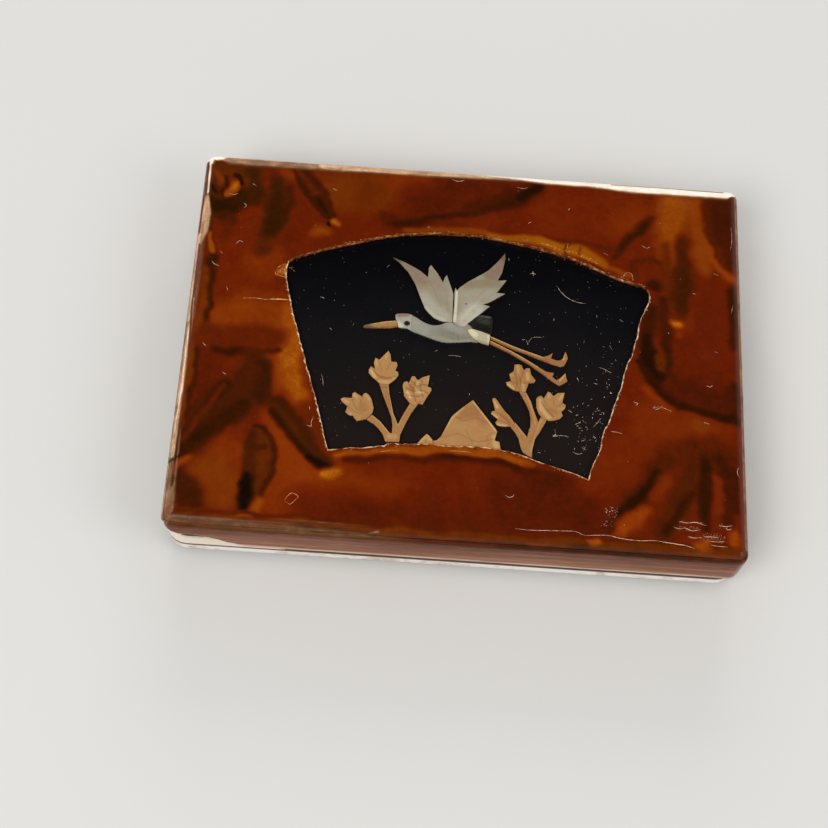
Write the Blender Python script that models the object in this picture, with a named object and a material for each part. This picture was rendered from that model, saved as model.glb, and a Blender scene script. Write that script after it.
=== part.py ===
# Slim hinged lacquer box: tortoiseshell plates over a lacquered wood core, with a fan window
# cut through the top plate to show a crane, flowers and mountains inlaid in the black lacquer.
import math

import bmesh
import bpy
from mathutils import Matrix, Vector

mm = 0.001

# The case, lying on its base with the lid shut
case_width = 102 * mm
case_depth = 75.5 * mm
base_height = 5.4 * mm
lid_height = 9.6 * mm
rim_gap = 0.3 * mm
rim_corner = 4 * mm
shoulder_corner = 2 * mm
crease_corner = 0.6 * mm
lid_round = 2.4 * mm
base_round = 3.4 * mm

# Tortoiseshell plates
plate_thickness = 0.9 * mm
glue_line = 0.2 * mm
plate_joint = 0.15 * mm
mitre_gap = 0.3 * mm

# Wooden cores
lid_wall = 2.2 * mm
lid_board = 1.6 * mm
base_floor = 1.6 * mm
core_chamfer = 0.2 * mm

# Inner frame and panels
fit_gap = 0.3 * mm
frame_board = 1 * mm
frame_rise = 1.8 * mm
floor_panel_thickness = 0.6 * mm
ceiling_panel_thickness = 0.5 * mm
panel_corner = 0.5 * mm

# Hinges
hinge_spacing = 54 * mm
hinge_length = 12 * mm
leaf_thickness = 0.5 * mm
leaf_reach = 2.85 * mm
leaf_clearance = 0.2 * mm
knuckle_radius = 1 * mm
knuckle_gap = 0.2 * mm
bore_clearance = 0.15 * mm
pin_radius = 0.4 * mm
pin_head_radius = 0.6 * mm
pin_head_height = 0.25 * mm
barrel_gap = 0.3 * mm
nail_end = 2 * mm
nail_inset = 1.9 * mm
nail_radius = 0.35 * mm
nail_head_radius = 0.65 * mm
nail_head_height = 0.2 * mm
nail_length = 2.4 * mm
nail_clearance = 0.15 * mm

# The picture: its outlines are in hundredths of the drawing's width, from the lid's centre
drawing_width = 100 * mm
picture_shift_x = 0.2 * mm
picture_shift_y = 0.2 * mm
inlay_thickness = 0.35 * mm
inlay_glue = 0.15 * mm
eye_clearance = 0.1 * mm

overrun = 1 * mm
corner_steps = 6
round_steps = 6
cylinder_sides = 16
eye_sides = 12

# Worked out from the above
case_height = base_height + rim_gap + lid_height
lid_rim = base_height + rim_gap
core_inset = plate_thickness + glue_line
core_top = case_height - core_inset
lid_ceiling = core_top - lid_board
cavity_inset = core_inset + lid_wall
axis_y = case_depth / 2 + barrel_gap + knuckle_radius
axis_z = base_height + rim_gap / 2
bore_radius = pin_radius + bore_clearance

# Finishes: colour, roughness, metallic
finishes = {
    "tortoiseshell": ((0.16, 0.035, 0.006), 0.16, 0.0),
    "black_lacquer": ((0.006, 0.006, 0.007), 0.12, 0.0),
    "gold_fleck_lacquer": ((0.22, 0.07, 0.02), 0.25, 0.0),
    "pearl": ((0.58, 0.55, 0.5), 0.3, 0.0),
    "grey_shell": ((0.33, 0.35, 0.34), 0.32, 0.0),
    "cream_shell": ((0.66, 0.56, 0.38), 0.35, 0.0),
    "dark_horn": ((0.03, 0.026, 0.022), 0.3, 0.0),
    "pink_straw": ((0.55, 0.26, 0.12), 0.45, 0.0),
    "straw": ((0.5, 0.3, 0.12), 0.5, 0.0),
    "brass": ((0.6, 0.42, 0.16), 0.3, 1.0),
}

# The window in the top plate: four corners and how far each side bows outward
window_corner_shares = ((-33.3, 14.9), (-23.2, -22.1), (22.6, -24.3), (33.2, 14.2))
window_bow_shares = (0.3, -3.4, 0.7, 9.2)
window_side_steps = (5, 14, 5, 20)

# The front plate's broken lower left corner: place along the plate, and rise, as shares
chip_shares = ((0.0, 0.66), (0.045, 0.42), (0.07, 0.34), (0.09, 0.24), (0.12, 0.13), (0.145, 0.0))

# The crane
left_wing_shares = (
    (-14.2, 17.4), (-12.5, 16.7), (-10.3, 15.6), (-9.1, 14.9), (-7.6, 13.65), (-7.5, 15.8),
    (-7.2, 16.3), (-5.9, 14.6), (-4.8, 12.75), (-4.5, 13.8), (-4.2, 14.4), (-3.3, 11.9),
    (-2.85, 10.6), (-2.8, 4.85), (-3.75, 4.8), (-5.0, 5.0), (-6.1, 5.5), (-7.0, 6.3),
    (-7.8, 7.25), (-8.8, 9.6), (-9.85, 12.25), (-11.25, 14.6), (-13.0, 16.5),
)
right_wing_shares = (
    (-2.6, 4.9), (-2.45, 8.5), (-2.55, 11.0), (-2.45, 11.8), (-2.1, 11.3), (-1.65, 12.0),
    (-0.1, 13.4), (2.25, 15.05), (3.5, 16.0), (5.2, 18.0), (6.45, 19.9), (6.5, 18.8),
    (6.0, 15.85), (5.15, 14.0), (6.8, 14.2), (5.4, 11.95), (5.0, 11.45), (6.6, 11.4),
    (4.15, 9.65), (2.55, 8.8), (3.9, 8.55), (1.95, 6.6), (0.05, 4.75), (-0.4, 4.05),
    (-1.2, 4.0), (-2.1, 4.4),
)
head_shares = (
    (-12.45, 3.05), (-12.58, 3.75), (-12.8, 4.3), (-13.0, 4.6), (-13.1, 5.4), (-12.95, 5.6),
    (-11.9, 5.75), (-10.95, 5.8), (-10.2, 5.6), (-10.2, 2.6), (-10.95, 2.95),
)
eye_centre_shares = (-10.97, 3.85)
eye_size_shares = (1.1, 1.0)
beak_shares = (
    (-18.85, 2.65), (-18.6, 2.95), (-14.85, 3.95), (-12.95, 4.25), (-12.75, 3.8),
    (-12.6, 3.1), (-13.75, 2.8), (-16.1, 2.55), (-18.75, 2.4),
)
body_shares = (
    (-10.05, 5.5), (-9.2, 5.05), (-8.3, 4.45), (-7.35, 4.0), (-6.4, 3.75), (-5.45, 3.8),
    (-4.7, 4.05), (-3.9, 4.45), (-3.3, 4.6), (-2.7, 4.6), (-2.2, 4.2), (-1.2, 3.83),
    (-0.35, 3.85), (0.1, 4.5), (0.5, 4.2), (0.9, 3.74), (0.05, 3.5), (0.4, 2.52),
    (1.2, 1.6), (1.95, 1.05), (0.7, 1.1), (-2.4, 0.7), (-4.0, 0.6), (-5.3, 0.85),
    (-7.5, 1.6), (-10.05, 2.45),
)
rump_shares = (
    (0.2, 3.4), (1.0, 3.6), (2.55, 3.2), (4.15, 2.65), (4.3, 2.4), (4.05, 0.7), (3.2, 0.85),
    (2.2, 1.15), (1.3, 1.75), (0.55, 2.6),
)
tail_shares = (
    (0.3, 4.75), (1.0, 5.45), (2.05, 6.5), (2.6, 6.65), (4.3, 6.4), (4.6, 5.7), (4.5, 3.0),
    (4.25, 2.82), (2.6, 3.37), (1.25, 3.78), (0.65, 4.25),
)
upper_leg_shares = (
    (4.45, 2.4), (8.5, 0.75), (11.0, -0.1), (14.1, -1.05), (15.0, -0.7), (15.85, -0.1),
    (15.55, -1.25), (16.6, -1.6), (17.25, -1.5), (17.7, -1.05), (17.95, -0.1), (18.15, 0.35),
    (18.4, -0.25), (18.6, -1.05), (18.25, -1.95), (17.9, -2.6), (17.35, -2.85), (15.2, -2.3),
    (12.55, -1.35), (11.0, -0.8), (8.5, 0.0), (4.45, 1.75),
)
lower_leg_shares = (
    (4.35, 1.55), (7.9, -0.1), (10.05, -1.2), (13.2, -3.1), (14.75, -4.0), (16.15, -4.15),
    (15.85, -4.95), (16.6, -5.55), (17.25, -5.1), (18.2, -4.0), (18.35, -4.8), (18.6, -5.6),
    (18.05, -6.1), (17.1, -6.65), (16.3, -6.2), (14.75, -5.1), (11.6, -2.9), (7.9, -0.8),
    (4.3, 0.85),
)

# The left clump of flowers
left_stems_shares = (
    (-13.4, -19.8), (-13.9, -18.5), (-14.6, -17.55), (-15.55, -16.65), (-16.9, -15.85),
    (-16.1, -14.95), (-15.55, -15.4), (-14.6, -16.15), (-12.85, -18.2), (-12.3, -18.3),
    (-12.3, -16.6), (-12.6, -15.05), (-14.15, -11.3), (-15.1, -8.82), (-13.6, -8.82),
    (-13.4, -10.4), (-12.45, -14.3), (-11.4, -16.6), (-10.55, -14.45), (-9.5, -12.3),
    (-8.6, -12.58), (-8.15, -12.25), (-9.3, -14.1), (-10.1, -16.0), (-10.95, -18.35),
    (-11.05, -19.7),
)
left_flower_shares = (
    (-21.8, -12.2), (-21.35, -11.95), (-19.85, -11.95), (-19.8, -11.0), (-19.45, -10.75),
    (-18.05, -11.6), (-17.9, -11.0), (-17.5, -10.75), (-17.05, -11.0), (-16.5, -11.8),
    (-16.0, -13.5), (-16.1, -14.3), (-16.5, -15.05), (-17.1, -15.7), (-18.75, -16.15),
    (-19.55, -15.15), (-20.15, -15.15), (-20.8, -14.65), (-20.5, -13.5), (-21.6, -12.65),
)
top_flower_shares = (
    (-14.0, -2.1), (-13.65, -2.7), (-13.4, -4.2), (-12.45, -4.2), (-12.25, -4.75),
    (-12.6, -5.9), (-12.05, -6.15), (-11.95, -6.7), (-12.45, -7.5), (-13.6, -8.65),
    (-15.0, -8.65), (-16.65, -7.25), (-17.2, -6.6), (-17.2, -6.0), (-16.9, -5.4),
    (-16.1, -6.0), (-16.4, -4.6), (-16.2, -3.65), (-15.5, -4.0), (-14.45, -2.65),
)
near_flower_shares = (
    (-6.35, -6.4), (-7.6, -6.95), (-8.2, -7.5), (-8.55, -7.4), (-9.0, -6.8), (-9.4, -6.85),
    (-9.95, -8.35), (-10.25, -7.9), (-10.8, -8.1), (-10.95, -8.8), (-10.55, -10.7),
    (-9.45, -12.1), (-8.6, -12.4), (-7.9, -11.95), (-7.3, -12.1), (-6.8, -11.0), (-5.9, -9.3),
    (-5.95, -8.9), (-6.6, -8.65),
)

# The mountains
mountain_shares = (
    (1.7, -10.75), (3.75, -13.35), (5.95, -16.1), (6.2, -16.5), (5.8, -18.1), (5.95, -18.4),
    (6.65, -18.5), (6.9, -19.85), (-4.9, -19.75), (-5.0, -19.2), (-4.3, -19.0), (-3.6, -18.2),
    (-2.0, -14.45), (-1.7, -13.95), (0.0, -12.25),
)
foothill_shares = (
    (-7.6, -19.7), (-6.95, -18.8), (-6.2, -17.95), (-5.8, -18.25), (-5.2, -19.0), (-5.15, -19.7),
)

# The right clump of flowers
right_stems_shares = (
    (12.5, -20.95), (12.5, -19.6), (12.95, -17.4), (13.6, -16.3), (14.7, -14.1), (14.9, -13.6),
    (14.25, -13.38), (14.0, -13.1), (13.5, -14.25), (12.5, -11.65), (12.05, -10.2),
    (11.15, -8.53), (10.05, -8.4), (11.25, -10.55), (11.9, -11.95), (12.2, -13.5),
    (12.2, -15.05), (11.6, -17.3), (9.4, -14.6), (9.0, -15.28), (8.7, -15.42), (9.55, -16.45),
    (10.15, -17.55), (10.6, -19.3), (11.0, -20.1), (11.85, -20.7),
)
bud_shares = (
    (5.25, -10.2), (5.5, -10.0), (5.8, -10.15), (7.35, -12.4), (8.3, -13.35), (9.2, -14.6),
    (8.85, -15.2), (6.9, -15.3), (6.25, -15.15), (5.95, -14.75), (6.4, -14.05), (5.1, -13.05),
    (5.25, -12.65), (5.85, -12.5),
)
leg_flower_shares = (
    (9.0, -3.1), (9.7, -2.95), (10.15, -3.1), (10.65, -4.2), (11.1, -3.65), (11.65, -3.6),
    (11.95, -4.9), (12.75, -5.9), (12.5, -6.3), (11.55, -6.45), (11.0, -8.35), (9.05, -8.1),
    (7.75, -7.25), (7.6, -6.7), (8.5, -6.4), (8.1, -5.05), (8.9, -4.35),
)
right_flower_shares = (
    (13.1, -9.6), (13.35, -9.2), (13.9, -8.95), (14.4, -9.5), (15.15, -8.05), (15.55, -8.2),
    (16.1, -8.9), (16.9, -8.2), (18.05, -8.05), (17.65, -10.05), (18.3, -10.45),
    (18.2, -11.0), (17.5, -11.8), (17.8, -12.5), (17.35, -13.05), (16.55, -13.4),
    (15.45, -13.6), (14.4, -13.25), (13.6, -12.4), (13.2, -11.3),
)

inlays = (
    ("crane_left_wing", left_wing_shares, "pearl"),
    ("crane_right_wing", right_wing_shares, "pearl"),
    ("crane_beak", beak_shares, "pink_straw"),
    ("crane_body", body_shares, "grey_shell"),
    ("crane_rump", rump_shares, "cream_shell"),
    ("crane_tail", tail_shares, "dark_horn"),
    ("crane_upper_leg", upper_leg_shares, "pink_straw"),
    ("crane_lower_leg", lower_leg_shares, "pink_straw"),
    ("left_stems", left_stems_shares, "straw"),
    ("left_flower", left_flower_shares, "straw"),
    ("top_flower", top_flower_shares, "straw"),
    ("near_flower", near_flower_shares, "straw"),
    ("mountain", mountain_shares, "straw"),
    ("foothill", foothill_shares, "straw"),
    ("right_stems", right_stems_shares, "straw"),
    ("right_bud", bud_shares, "straw"),
    ("leg_flower", leg_flower_shares, "straw"),
    ("right_flower", right_flower_shares, "straw"),
)


def clear_scene():
    for thing in list(bpy.data.objects):
        bpy.data.objects.remove(thing, do_unlink=True)


def make_collection(name):
    collection = bpy.data.collections.new(name)
    bpy.context.scene.collection.children.link(collection)
    return collection


def make_material(name, colour, roughness, metallic):
    material = bpy.data.materials.new(name)
    material.use_nodes = True
    shader = material.node_tree.nodes["Principled BSDF"]
    shader.inputs["Base Color"].default_value = (*colour, 1)
    shader.inputs["Roughness"].default_value = roughness
    shader.inputs["Metallic"].default_value = metallic
    return material


def add_part(name, data, finish, axis=None):
    # Each piece has a material of its own; a lid piece is parented to the hinge axis
    part = bpy.data.objects.new(name, data)
    parts.objects.link(part)
    data.materials.append(make_material(f"{name}_{finish}", *finishes[finish]))
    if axis:
        part.parent = axis
        part.matrix_parent_inverse = Matrix.Translation((0, -axis_y, -axis_z))
    return part


def add_cutter(name, data):
    cutter = bpy.data.objects.new(name, data)
    cutters.objects.link(cutter)
    cutter.hide_render = True
    cutter.display_type = "WIRE"
    return cutter


def combine(part, cutter, operation):
    step = part.modifiers.new(cutter.name, "BOOLEAN")
    step.operation = operation
    step.solver = "EXACT"
    step.object = cutter


def mesh_from(shape, name):
    mesh = bpy.data.meshes.new(name)
    bmesh.ops.recalc_face_normals(shape, faces=shape.faces)
    shape.to_mesh(mesh)
    shape.free()
    return mesh


def lofted(name, rings):
    # A closed skin through rings of equally many points, capped at the first and the last
    shape = bmesh.new()
    rows = [[shape.verts.new(point) for point in ring] for ring in rings]
    for low, high in zip(rows, rows[1:]):
        for here in range(len(low)):
            there = (here + 1) % len(low)
            shape.faces.new((low[here], low[there], high[there], high[here]))
    shape.faces.new(reversed(rows[0]))
    shape.faces.new(rows[-1])
    return mesh_from(shape, name)


def block(name, low, high):
    shape = bmesh.new()
    size = Vector(high) - Vector(low)
    middle = (Vector(high) + Vector(low)) / 2
    place = Matrix.Translation(middle) @ Matrix.Diagonal((*size, 1))
    bmesh.ops.create_cube(shape, size=1, matrix=place)
    return mesh_from(shape, name)


def rod(name, radius, length, middle, turn=None):
    # A cylinder about its middle, upright unless turned
    shape = bmesh.new()
    place = Matrix.Translation(middle) @ (turn or Matrix.Identity(4))
    bmesh.ops.create_cone(
        shape, cap_ends=True, segments=cylinder_sides, radius1=radius, radius2=radius,
        depth=length, matrix=place,
    )
    return mesh_from(shape, name)


def corner_at(z):
    # The plan's corners tighten from the lid's rim to its shoulder
    shoulder = case_height - lid_round
    rise = min(max((z - lid_rim) / (shoulder - lid_rim), 0), 1)
    return rim_corner + (shoulder_corner - rim_corner) * rise


def outline(inset, z):
    # The case's plan at a height, drawn in by an inset, as equally many points each time
    radius = max(corner_at(z) - inset, crease_corner)
    reach_x = case_width / 2 - inset - radius
    reach_y = case_depth / 2 - inset - radius
    points = []
    for corner, (side_x, side_y) in enumerate(((1, 1), (-1, 1), (-1, -1), (1, -1))):
        for step in range(corner_steps + 1):
            angle = (corner + step / corner_steps) * math.pi / 2
            x = side_x * reach_x + radius * math.cos(angle)
            y = side_y * reach_y + radius * math.sin(angle)
            points.append(Vector((x, y, z)))
    return points


def lid_edge(angle):
    # The rounded top edge: inset and height at an angle up from the side
    return lid_round * (1 - math.cos(angle)), case_height - lid_round * (1 - math.sin(angle))


def arc_points(start, end, bow, steps):
    # From start up to but not including end, bowing to the right of the way by bow
    start = Vector(start)
    end = Vector(end)
    along = end - start
    out = Vector((along.y, -along.x)).normalized()
    points = []
    for step in range(steps):
        share = step / steps
        points.append(start + along * share + out * bow * (4 * share * (1 - share)))
    return points


def flat_curve(name, outlines, thickness):
    # A flat shape with straight walls, filled on both sides; a second outline is a hole
    curve = bpy.data.curves.new(name, "CURVE")
    curve.dimensions = "2D"
    curve.fill_mode = "BOTH"
    curve.extrude = thickness / 2
    for points in outlines:
        spline = curve.splines.new("POLY")
        spline.points.add(len(points) - 1)
        for knot, point in zip(spline.points, points):
            knot.co = (point[0], point[1], 0, 1)
        spline.use_cyclic_u = True
    return curve


def drawn(shares):
    unit = drawing_width / 100
    return [(x * unit, y * unit) for x, y in shares]


def make_window_cutter():
    corners = drawn(window_corner_shares)
    bows = [bow * drawing_width / 100 for bow in window_bow_shares]
    points = []
    for side, steps in enumerate(window_side_steps):
        points += arc_points(corners[side], corners[(side + 1) % 4], bows[side], steps)
    depth = plate_thickness + 2 * glue_line
    curve = flat_curve("window_curve", [points], depth + overrun)
    drawing = bpy.data.objects.new("window_curve", curve)
    drawing.location = (0, 0, core_top + (depth + overrun) / 2)
    cutters.objects.link(drawing)
    bpy.context.view_layer.update()
    evaluated = drawing.evaluated_get(bpy.context.evaluated_depsgraph_get())
    mesh = bpy.data.meshes.new_from_object(evaluated)
    shape = bmesh.new()
    shape.from_mesh(mesh)
    bmesh.ops.remove_doubles(shape, verts=shape.verts, dist=0.001 * mm)
    bpy.data.meshes.remove(mesh)
    cutter = add_cutter("window", mesh_from(shape, "window"))
    cutter.matrix_world = drawing.matrix_world
    bpy.data.objects.remove(drawing)
    return cutter


def make_top_plate():
    lowest = math.asin((lid_round - plate_thickness) / lid_round)
    rings = []
    for step in range(round_steps + 1):
        angle = lowest + (math.pi / 2 - lowest) * step / round_steps
        rings.append(outline(*lid_edge(angle)))
    plate = add_part("lid_top_plate", lofted("lid_top_plate", rings), "tortoiseshell", lid_axis)
    combine(plate, make_window_cutter(), "DIFFERENCE")


def chip_rise(share, side):
    # How far the front and left plates are broken away above the rim, near their shared corner
    if side == "front":
        place = share
    elif side == "left":
        place = 1 - share
    else:
        return 0
    for (before, high), (after, low) in zip(chip_shares, chip_shares[1:]):
        if before <= place <= after:
            return (high + (low - high) * (place - before) / (after - before)) * lid_height
    return 0


def side_points(corner, inset, z, run_shares):
    # Half a corner, the straight run and half the next corner, with extra points on the run
    points = outline(inset, z)
    half = corner_steps // 2
    count = len(points)
    first = corner * (corner_steps + 1) + half
    start = [points[(first + step) % count] for step in range(half + 1)]
    end = [points[(first + half + 1 + step) % count] for step in range(half + 1)]
    run = [start[-1].lerp(end[0], share) for share in run_shares]
    return start + run + end


def make_side_plates():
    highest = math.asin((lid_round - plate_thickness - plate_joint) / lid_round)
    sides = (("back", 0), ("left", 1), ("front", 2), ("right", 3))
    chip_places = [share for share, rise in chip_shares[1:]]
    broken = {"front": chip_places, "left": [1 - share for share in reversed(chip_places)]}
    for side, corner in sides:
        runs = broken.get(side, [])
        levels = [(0, lid_rim), (0, case_height - lid_round)]
        for step in range(1, 4):
            levels.append(lid_edge(highest * step / 3))
        levels += [(plate_thickness, levels[-1][1]), (plate_thickness, lid_rim)]
        half = corner_steps // 2
        # Heights of the broken edge, by place along the plate's straight run
        shares = [0] * half + [0] + runs + [1] + [1] * half
        sections = []
        for place, share in enumerate(shares):
            lowest = lid_rim + chip_rise(share, side)
            section = [(inset, max(z, lowest)) for inset, z in levels]
            sections.append([side_points(corner, inset, z, runs)[place] for inset, z in section])
        # Mitred ends, drawn back along the side to leave the joint
        heading = math.pi * (1 + corner / 2)
        back = Vector((math.cos(heading), math.sin(heading), 0)) * mitre_gap * math.sqrt(0.5)
        sections[0] = [point + back for point in sections[0]]
        sections[-1] = [point - back for point in sections[-1]]
        name = f"lid_{side}_plate"
        plate = add_part(name, lofted(name, sections), "tortoiseshell", lid_axis)
        if side == "back":
            cut_leaf_recesses(plate, "lid")


def make_lid_core():
    rings = [
        outline(core_inset, lid_rim),
        outline(core_inset, core_top - core_chamfer),
        outline(core_inset + core_chamfer, core_top),
    ]
    cavity = [outline(cavity_inset, lid_ceiling), outline(cavity_inset, lid_rim)]
    rings = list(reversed(rings)) + list(reversed(cavity))
    core = add_part("lid_core", lofted("lid_core", rings), "black_lacquer", lid_axis)
    cut_leaf_recesses(core, "lid")
    cut_nail_holes(core, "lid")


def make_base_core():
    outside = []
    for step in range(round_steps + 1):
        angle = math.pi / 2 * step / round_steps
        inset = base_round * (1 - math.sin(angle))
        outside.append(outline(inset, base_round * (1 - math.cos(angle))))
    outside.append(outline(0, base_height))
    inside = [outline(cavity_inset, base_height), outline(cavity_inset, base_floor)]
    core = add_part("base_core", lofted("base_core", outside + inside), "black_lacquer")
    cut_leaf_recesses(core, "base")
    cut_nail_holes(core, "base")


def hinge_places():
    return (("left", -hinge_spacing / 2), ("right", hinge_spacing / 2))


def nail_places():
    for side, hinge_x in hinge_places():
        for end, sign in (("outer", -1), ("inner", 1)):
            yield side, end, hinge_x + sign * math.copysign(hinge_length / 2 - nail_end, -hinge_x)


def cut_leaf_recesses(part, half):
    reach = leaf_reach + leaf_clearance
    depth = leaf_thickness + leaf_clearance
    for side, x in hinge_places():
        if half == "base":
            low_z, high_z = base_height - depth, base_height + overrun
        else:
            low_z, high_z = lid_rim - overrun, lid_rim + depth
        width = hinge_length / 2 + leaf_clearance
        low = (x - width, case_depth / 2 - reach, low_z)
        high = (x + width, case_depth / 2 + overrun, high_z)
        name = f"{part.name}_{side}_recess"
        combine(part, add_cutter(name, block(name, low, high)), "DIFFERENCE")


def cut_nail_holes(part, half):
    depth = leaf_thickness + nail_length
    y = case_depth / 2 - nail_inset
    for side, end, x in nail_places():
        z = base_height - depth / 2 if half == "base" else lid_rim + depth / 2
        name = f"{part.name}_{side}_{end}_hole"
        hole = rod(name, nail_radius + nail_clearance, depth, (x, y, z))
        combine(part, add_cutter(name, hole), "DIFFERENCE")


def make_leaf(half, side, hinge_x):
    # A leaf let into the rim, with its knuckles round the pin and countersunk nail holes
    turn = Matrix.Rotation(math.pi / 2, 4, "Y")
    wall = case_depth / 2
    if half == "base":
        low_z, high_z = base_height - leaf_thickness, base_height
    else:
        low_z, high_z = lid_rim, lid_rim + leaf_thickness
    knuckle = hinge_length / 3 - knuckle_gap
    if half == "base":
        spans = [(-hinge_length / 2, -hinge_length / 2 + knuckle)]
        spans.append((hinge_length / 2 - knuckle, hinge_length / 2))
    else:
        spans = [(-knuckle / 2, knuckle / 2)]
    name = f"{side}_hinge_{half}_leaf"
    low = (hinge_x - hinge_length / 2, wall - leaf_reach, low_z)
    high = (hinge_x + hinge_length / 2, wall - leaf_clearance, high_z)
    axis = lid_axis if half == "lid" else None
    leaf = add_part(name, block(name, low, high), "brass", axis)
    for number, (start, end) in enumerate(spans):
        tongue_low = (hinge_x + start, wall - leaf_reach / 2, low_z)
        tongue_high = (hinge_x + end, axis_y, high_z)
        tongue = block(f"{name}_tongue_{number}", tongue_low, tongue_high)
        combine(leaf, add_cutter(tongue.name, tongue), "UNION")
        middle = (hinge_x + (start + end) / 2, axis_y, axis_z)
        barrel = rod(f"{name}_barrel_{number}", knuckle_radius, end - start, middle, turn)
        combine(leaf, add_cutter(barrel.name, barrel), "UNION")
    bore = rod(f"{name}_bore", bore_radius, hinge_length + overrun, (hinge_x, axis_y, axis_z), turn)
    combine(leaf, add_cutter(bore.name, bore), "DIFFERENCE")
    cut_leaf_holes(leaf, half, side, low_z, high_z)


def cut_leaf_holes(leaf, half, leaf_side, low_z, high_z):
    y = case_depth / 2 - nail_inset
    sink = nail_head_height + nail_clearance
    depth = leaf_thickness + overrun
    for side, end, x in nail_places():
        if side != leaf_side:
            continue
        middle = (x, y, (low_z + high_z) / 2)
        hole = rod(f"{leaf.name}_{end}_hole", nail_radius + nail_clearance, depth, middle)
        combine(leaf, add_cutter(hole.name, hole), "DIFFERENCE")
        if half == "base":
            middle_z = high_z - sink + overrun / 2
        else:
            middle_z = low_z + sink - overrun / 2
        well = rod(
            f"{leaf.name}_{end}_well", nail_head_radius + nail_clearance, overrun, (x, y, middle_z)
        )
        combine(leaf, add_cutter(well.name, well), "DIFFERENCE")


def make_pin(side, hinge_x):
    # The pin runs through the knuckles and is headed over at both ends
    turn = Matrix.Rotation(math.pi / 2, 4, "Y")
    name = f"{side}_hinge_pin"
    middle = (hinge_x, axis_y, axis_z)
    reach = hinge_length / 2 + knuckle_gap
    pin = add_part(name, rod(name, pin_radius, 2 * reach + pin_head_height, middle, turn), "brass")
    for number, sign in enumerate((-1, 1)):
        place = (hinge_x + sign * (reach + pin_head_height / 2), axis_y, axis_z)
        head = rod(f"{name}_head_{number}", pin_head_radius, pin_head_height, place, turn)
        combine(pin, add_cutter(head.name, head), "UNION")


def make_nail(half, side, end, x):
    # A flat-headed nail, its head just under the leaf's face
    y = case_depth / 2 - nail_inset
    way = -1 if half == "base" else 1
    face = base_height if half == "base" else lid_rim
    head_outer = face + way * nail_clearance / 2
    head_inner = head_outer + way * nail_head_height
    tip = face + way * (leaf_thickness + nail_length - nail_clearance)
    name = f"{half}_{side}_{end}_nail"
    shank = rod(name, nail_radius, abs(tip - head_outer), (x, y, (tip + head_outer) / 2))
    nail = add_part(name, shank, "brass", lid_axis if half == "lid" else None)
    middle = (x, y, (head_outer + head_inner) / 2)
    head = rod(f"{name}_head", nail_head_radius, nail_head_height, middle)
    combine(nail, add_cutter(head.name, head), "UNION")


def make_hinges():
    for side, x in hinge_places():
        make_leaf("base", side, x)
        make_leaf("lid", side, x)
        make_pin(side, x)
    for half in ("base", "lid"):
        for side, end, x in nail_places():
            make_nail(half, side, end, x)


def make_inner_frame():
    # Four mitred boards stand in the base and rise a little into the lid
    outer_x = case_width / 2 - cavity_inset - fit_gap
    outer_y = case_depth / 2 - cavity_inset - fit_gap
    inner_x = outer_x - frame_board
    inner_y = outer_y - frame_board
    low = base_floor + fit_gap
    height = base_height + frame_rise - low
    slip = mitre_gap * math.sqrt(0.5)
    long_board = [
        (-outer_x + slip, -outer_y), (outer_x - slip, -outer_y), (inner_x - slip, -inner_y),
        (-inner_x + slip, -inner_y),
    ]
    short_board = [
        (-outer_x, -outer_y + slip), (-inner_x, -inner_y + slip), (-inner_x, inner_y - slip),
        (-outer_x, outer_y - slip),
    ]
    boards = (
        ("front", long_board), ("back", [(-x, -y) for x, y in long_board]),
        ("left", short_board), ("right", [(-x, -y) for x, y in short_board]),
    )
    for side, points in boards:
        name = f"frame_{side}_board"
        board = add_part(name, flat_curve(name, [points], height), "black_lacquer")
        board.location.z = low + height / 2
    return inner_x, inner_y


def rounded_rectangle(half_x, half_y, radius):
    points = []
    for corner, (side_x, side_y) in enumerate(((1, 1), (-1, 1), (-1, -1), (1, -1))):
        for step in range(corner_steps + 1):
            angle = (corner + step / corner_steps) * math.pi / 2
            x = side_x * (half_x - radius) + radius * math.cos(angle)
            y = side_y * (half_y - radius) + radius * math.sin(angle)
            points.append((x, y))
    return points


def make_panels(inner_x, inner_y):
    points = rounded_rectangle(inner_x - fit_gap, inner_y - fit_gap, panel_corner)
    curve = flat_curve("floor_panel", [points], floor_panel_thickness)
    panel = add_part("floor_panel", curve, "gold_fleck_lacquer")
    panel.location.z = base_floor + fit_gap + floor_panel_thickness / 2
    half_x = case_width / 2 - cavity_inset - fit_gap
    half_y = case_depth / 2 - cavity_inset - fit_gap
    points = rounded_rectangle(half_x, half_y, panel_corner)
    curve = flat_curve("ceiling_panel", [points], ceiling_panel_thickness)
    panel = add_part("ceiling_panel", curve, "gold_fleck_lacquer", lid_axis)
    panel.location.z = lid_ceiling - glue_line - ceiling_panel_thickness / 2


def oval(centre, width, height):
    points = []
    for step in range(eye_sides):
        angle = 2 * math.pi * step / eye_sides
        x = centre[0] + width / 2 * math.cos(angle)
        y = centre[1] + height / 2 * math.sin(angle)
        points.append((x, y))
    return points


def make_inlays():
    # Each piece lies on the black lacquer, cut to meet its neighbours edge to edge
    place = (picture_shift_x, picture_shift_y, core_top + inlay_glue + inlay_thickness / 2)
    for name, shares, finish in inlays:
        curve = flat_curve(name, [drawn(shares)], inlay_thickness)
        add_part(name, curve, finish, lid_axis).location = place
    eye_centre, (eye_width, eye_height) = drawn([eye_centre_shares, eye_size_shares])
    socket = oval(eye_centre, eye_width + 2 * eye_clearance, eye_height + 2 * eye_clearance)
    head = flat_curve("crane_head", [drawn(head_shares), socket], inlay_thickness)
    add_part("crane_head", head, "pearl", lid_axis).location = place
    eye = flat_curve("crane_eye", [oval(eye_centre, eye_width, eye_height)], inlay_thickness)
    add_part("crane_eye", eye, "dark_horn", lid_axis).location = place


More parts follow.
